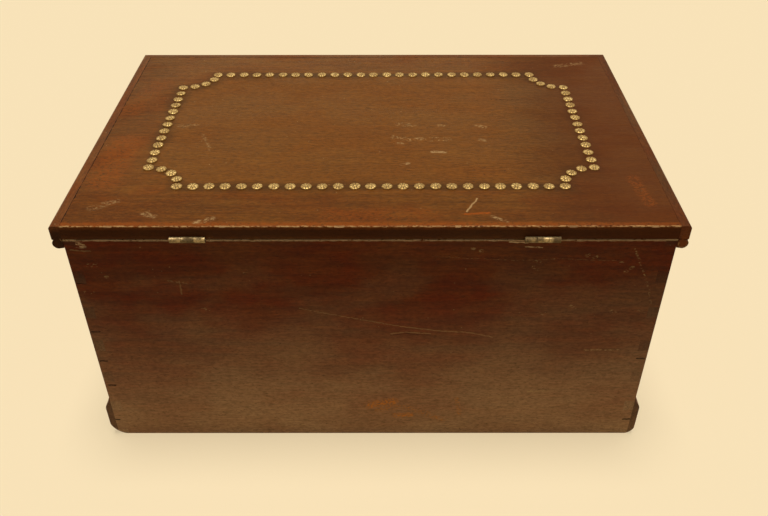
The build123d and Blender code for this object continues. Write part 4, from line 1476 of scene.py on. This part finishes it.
@dataclass
class Studio:
    """Camera, pale floor and soft overhead light."""

    frame_width: float = 768.0  # pixels of the photograph's frame
    focal: float = 821.9  # pixels
    sensor: float = 36.0
    place: Point = (14.7, -878.4, 783.3)
    pitch: float = 37.41  # degrees down
    turn: float = -0.063
    roll: float = -0.073
    floor_colour: str = "#f8e2b8"
    floor_size: float = 24.0  # metres
    sun_power: float = 2.95
    sun_angle: float = 24.0  # degrees that the light is wide
    sun_tilt: float = 3.0  # degrees towards the front
    fill: float = 0.07  # strength of the room's even light

    def build(self) -> None:
        """Make the camera, the floor, the light and the world."""
        self.camera()
        self.floor()
        self.light()
        self.room()
        bpy.context.scene.view_settings.view_transform = "Standard"

    def camera(self) -> None:
        """Camera at the photograph's viewpoint."""
        data = bpy.data.cameras.new("camera")
        data.sensor_fit = "HORIZONTAL"
        data.sensor_width = self.sensor
        data.lens = self.focal / self.frame_width * self.sensor
        data.clip_start = 0.02
        camera = put("camera", data)
        camera.matrix_world = (
            Matrix.Translation(Vector(self.place) * MM)
            @ Matrix.Rotation(math.radians(-self.turn), 4, "Z")
            @ Matrix.Rotation(math.radians(90 - self.pitch), 4, "X")
            @ Matrix.Rotation(math.radians(self.roll), 4, "Z")
        )
        bpy.context.scene.camera = camera

    def floor(self) -> None:
        """Plain pale floor: a lit sheet round the box, which the camera sees without its end."""
        mesh = bmesh.new()
        bmesh.ops.create_grid(mesh, x_segments=1, y_segments=1, size=self.floor_size / 2)
        data = mesh_data(mesh, "floor")
        low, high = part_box("base_moulding_left")[0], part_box("base_moulding_right")[1]
        half = ((high.x - low.x) / 2 / MM, (high.y - low.y) / 2 / MM)
        data.materials.append(PaleFloor("matt_pale_floor", self.floor_colour, half).build())
        floor = put("floor", data)

    def light(self) -> None:
        """One wide soft light from above, a little towards the front."""
        data = bpy.data.lights.new("overhead_light", "SUN")
        data.energy = self.sun_power
        data.angle = math.radians(self.sun_angle)
        put("overhead_light", data).rotation_euler = (math.radians(-self.sun_tilt), 0, 0)

    def room(self) -> None:
        """A dim even room, with the floor's colour behind it for the camera and reflections."""
        world = bpy.data.worlds.new("room")
        world.use_nodes = True
        world.node_tree.nodes.clear()
        add = partial(add_node, world.node_tree)
        room = add("ShaderNodeBackground", {"Color": (1, 1, 1, 1), "Strength": self.fill})
        backdrop = add("ShaderNodeBackground", {"Color": linear(self.floor_colour), "Strength": 1.0})
        mix = add("ShaderNodeMixShader", {0: background_rays(add), 1: room, 2: backdrop})
        add("ShaderNodeOutputWorld", {"Surface": mix})
        bpy.context.scene.world = world


def main() -> None:
    """Build the box's looks around the frame, with the studio first."""
    logging.basicConfig(level=logging.INFO, format="%(name)s: %(message)s")
    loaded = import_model()
    frame = Frame(loaded["nodes"])
    for part in (Studio(), Case(frame), Lid(frame), NailRing(frame), WoodScrews(frame), Hardware(frame)):
        part.build()


if __name__ == "__main__":
    main()
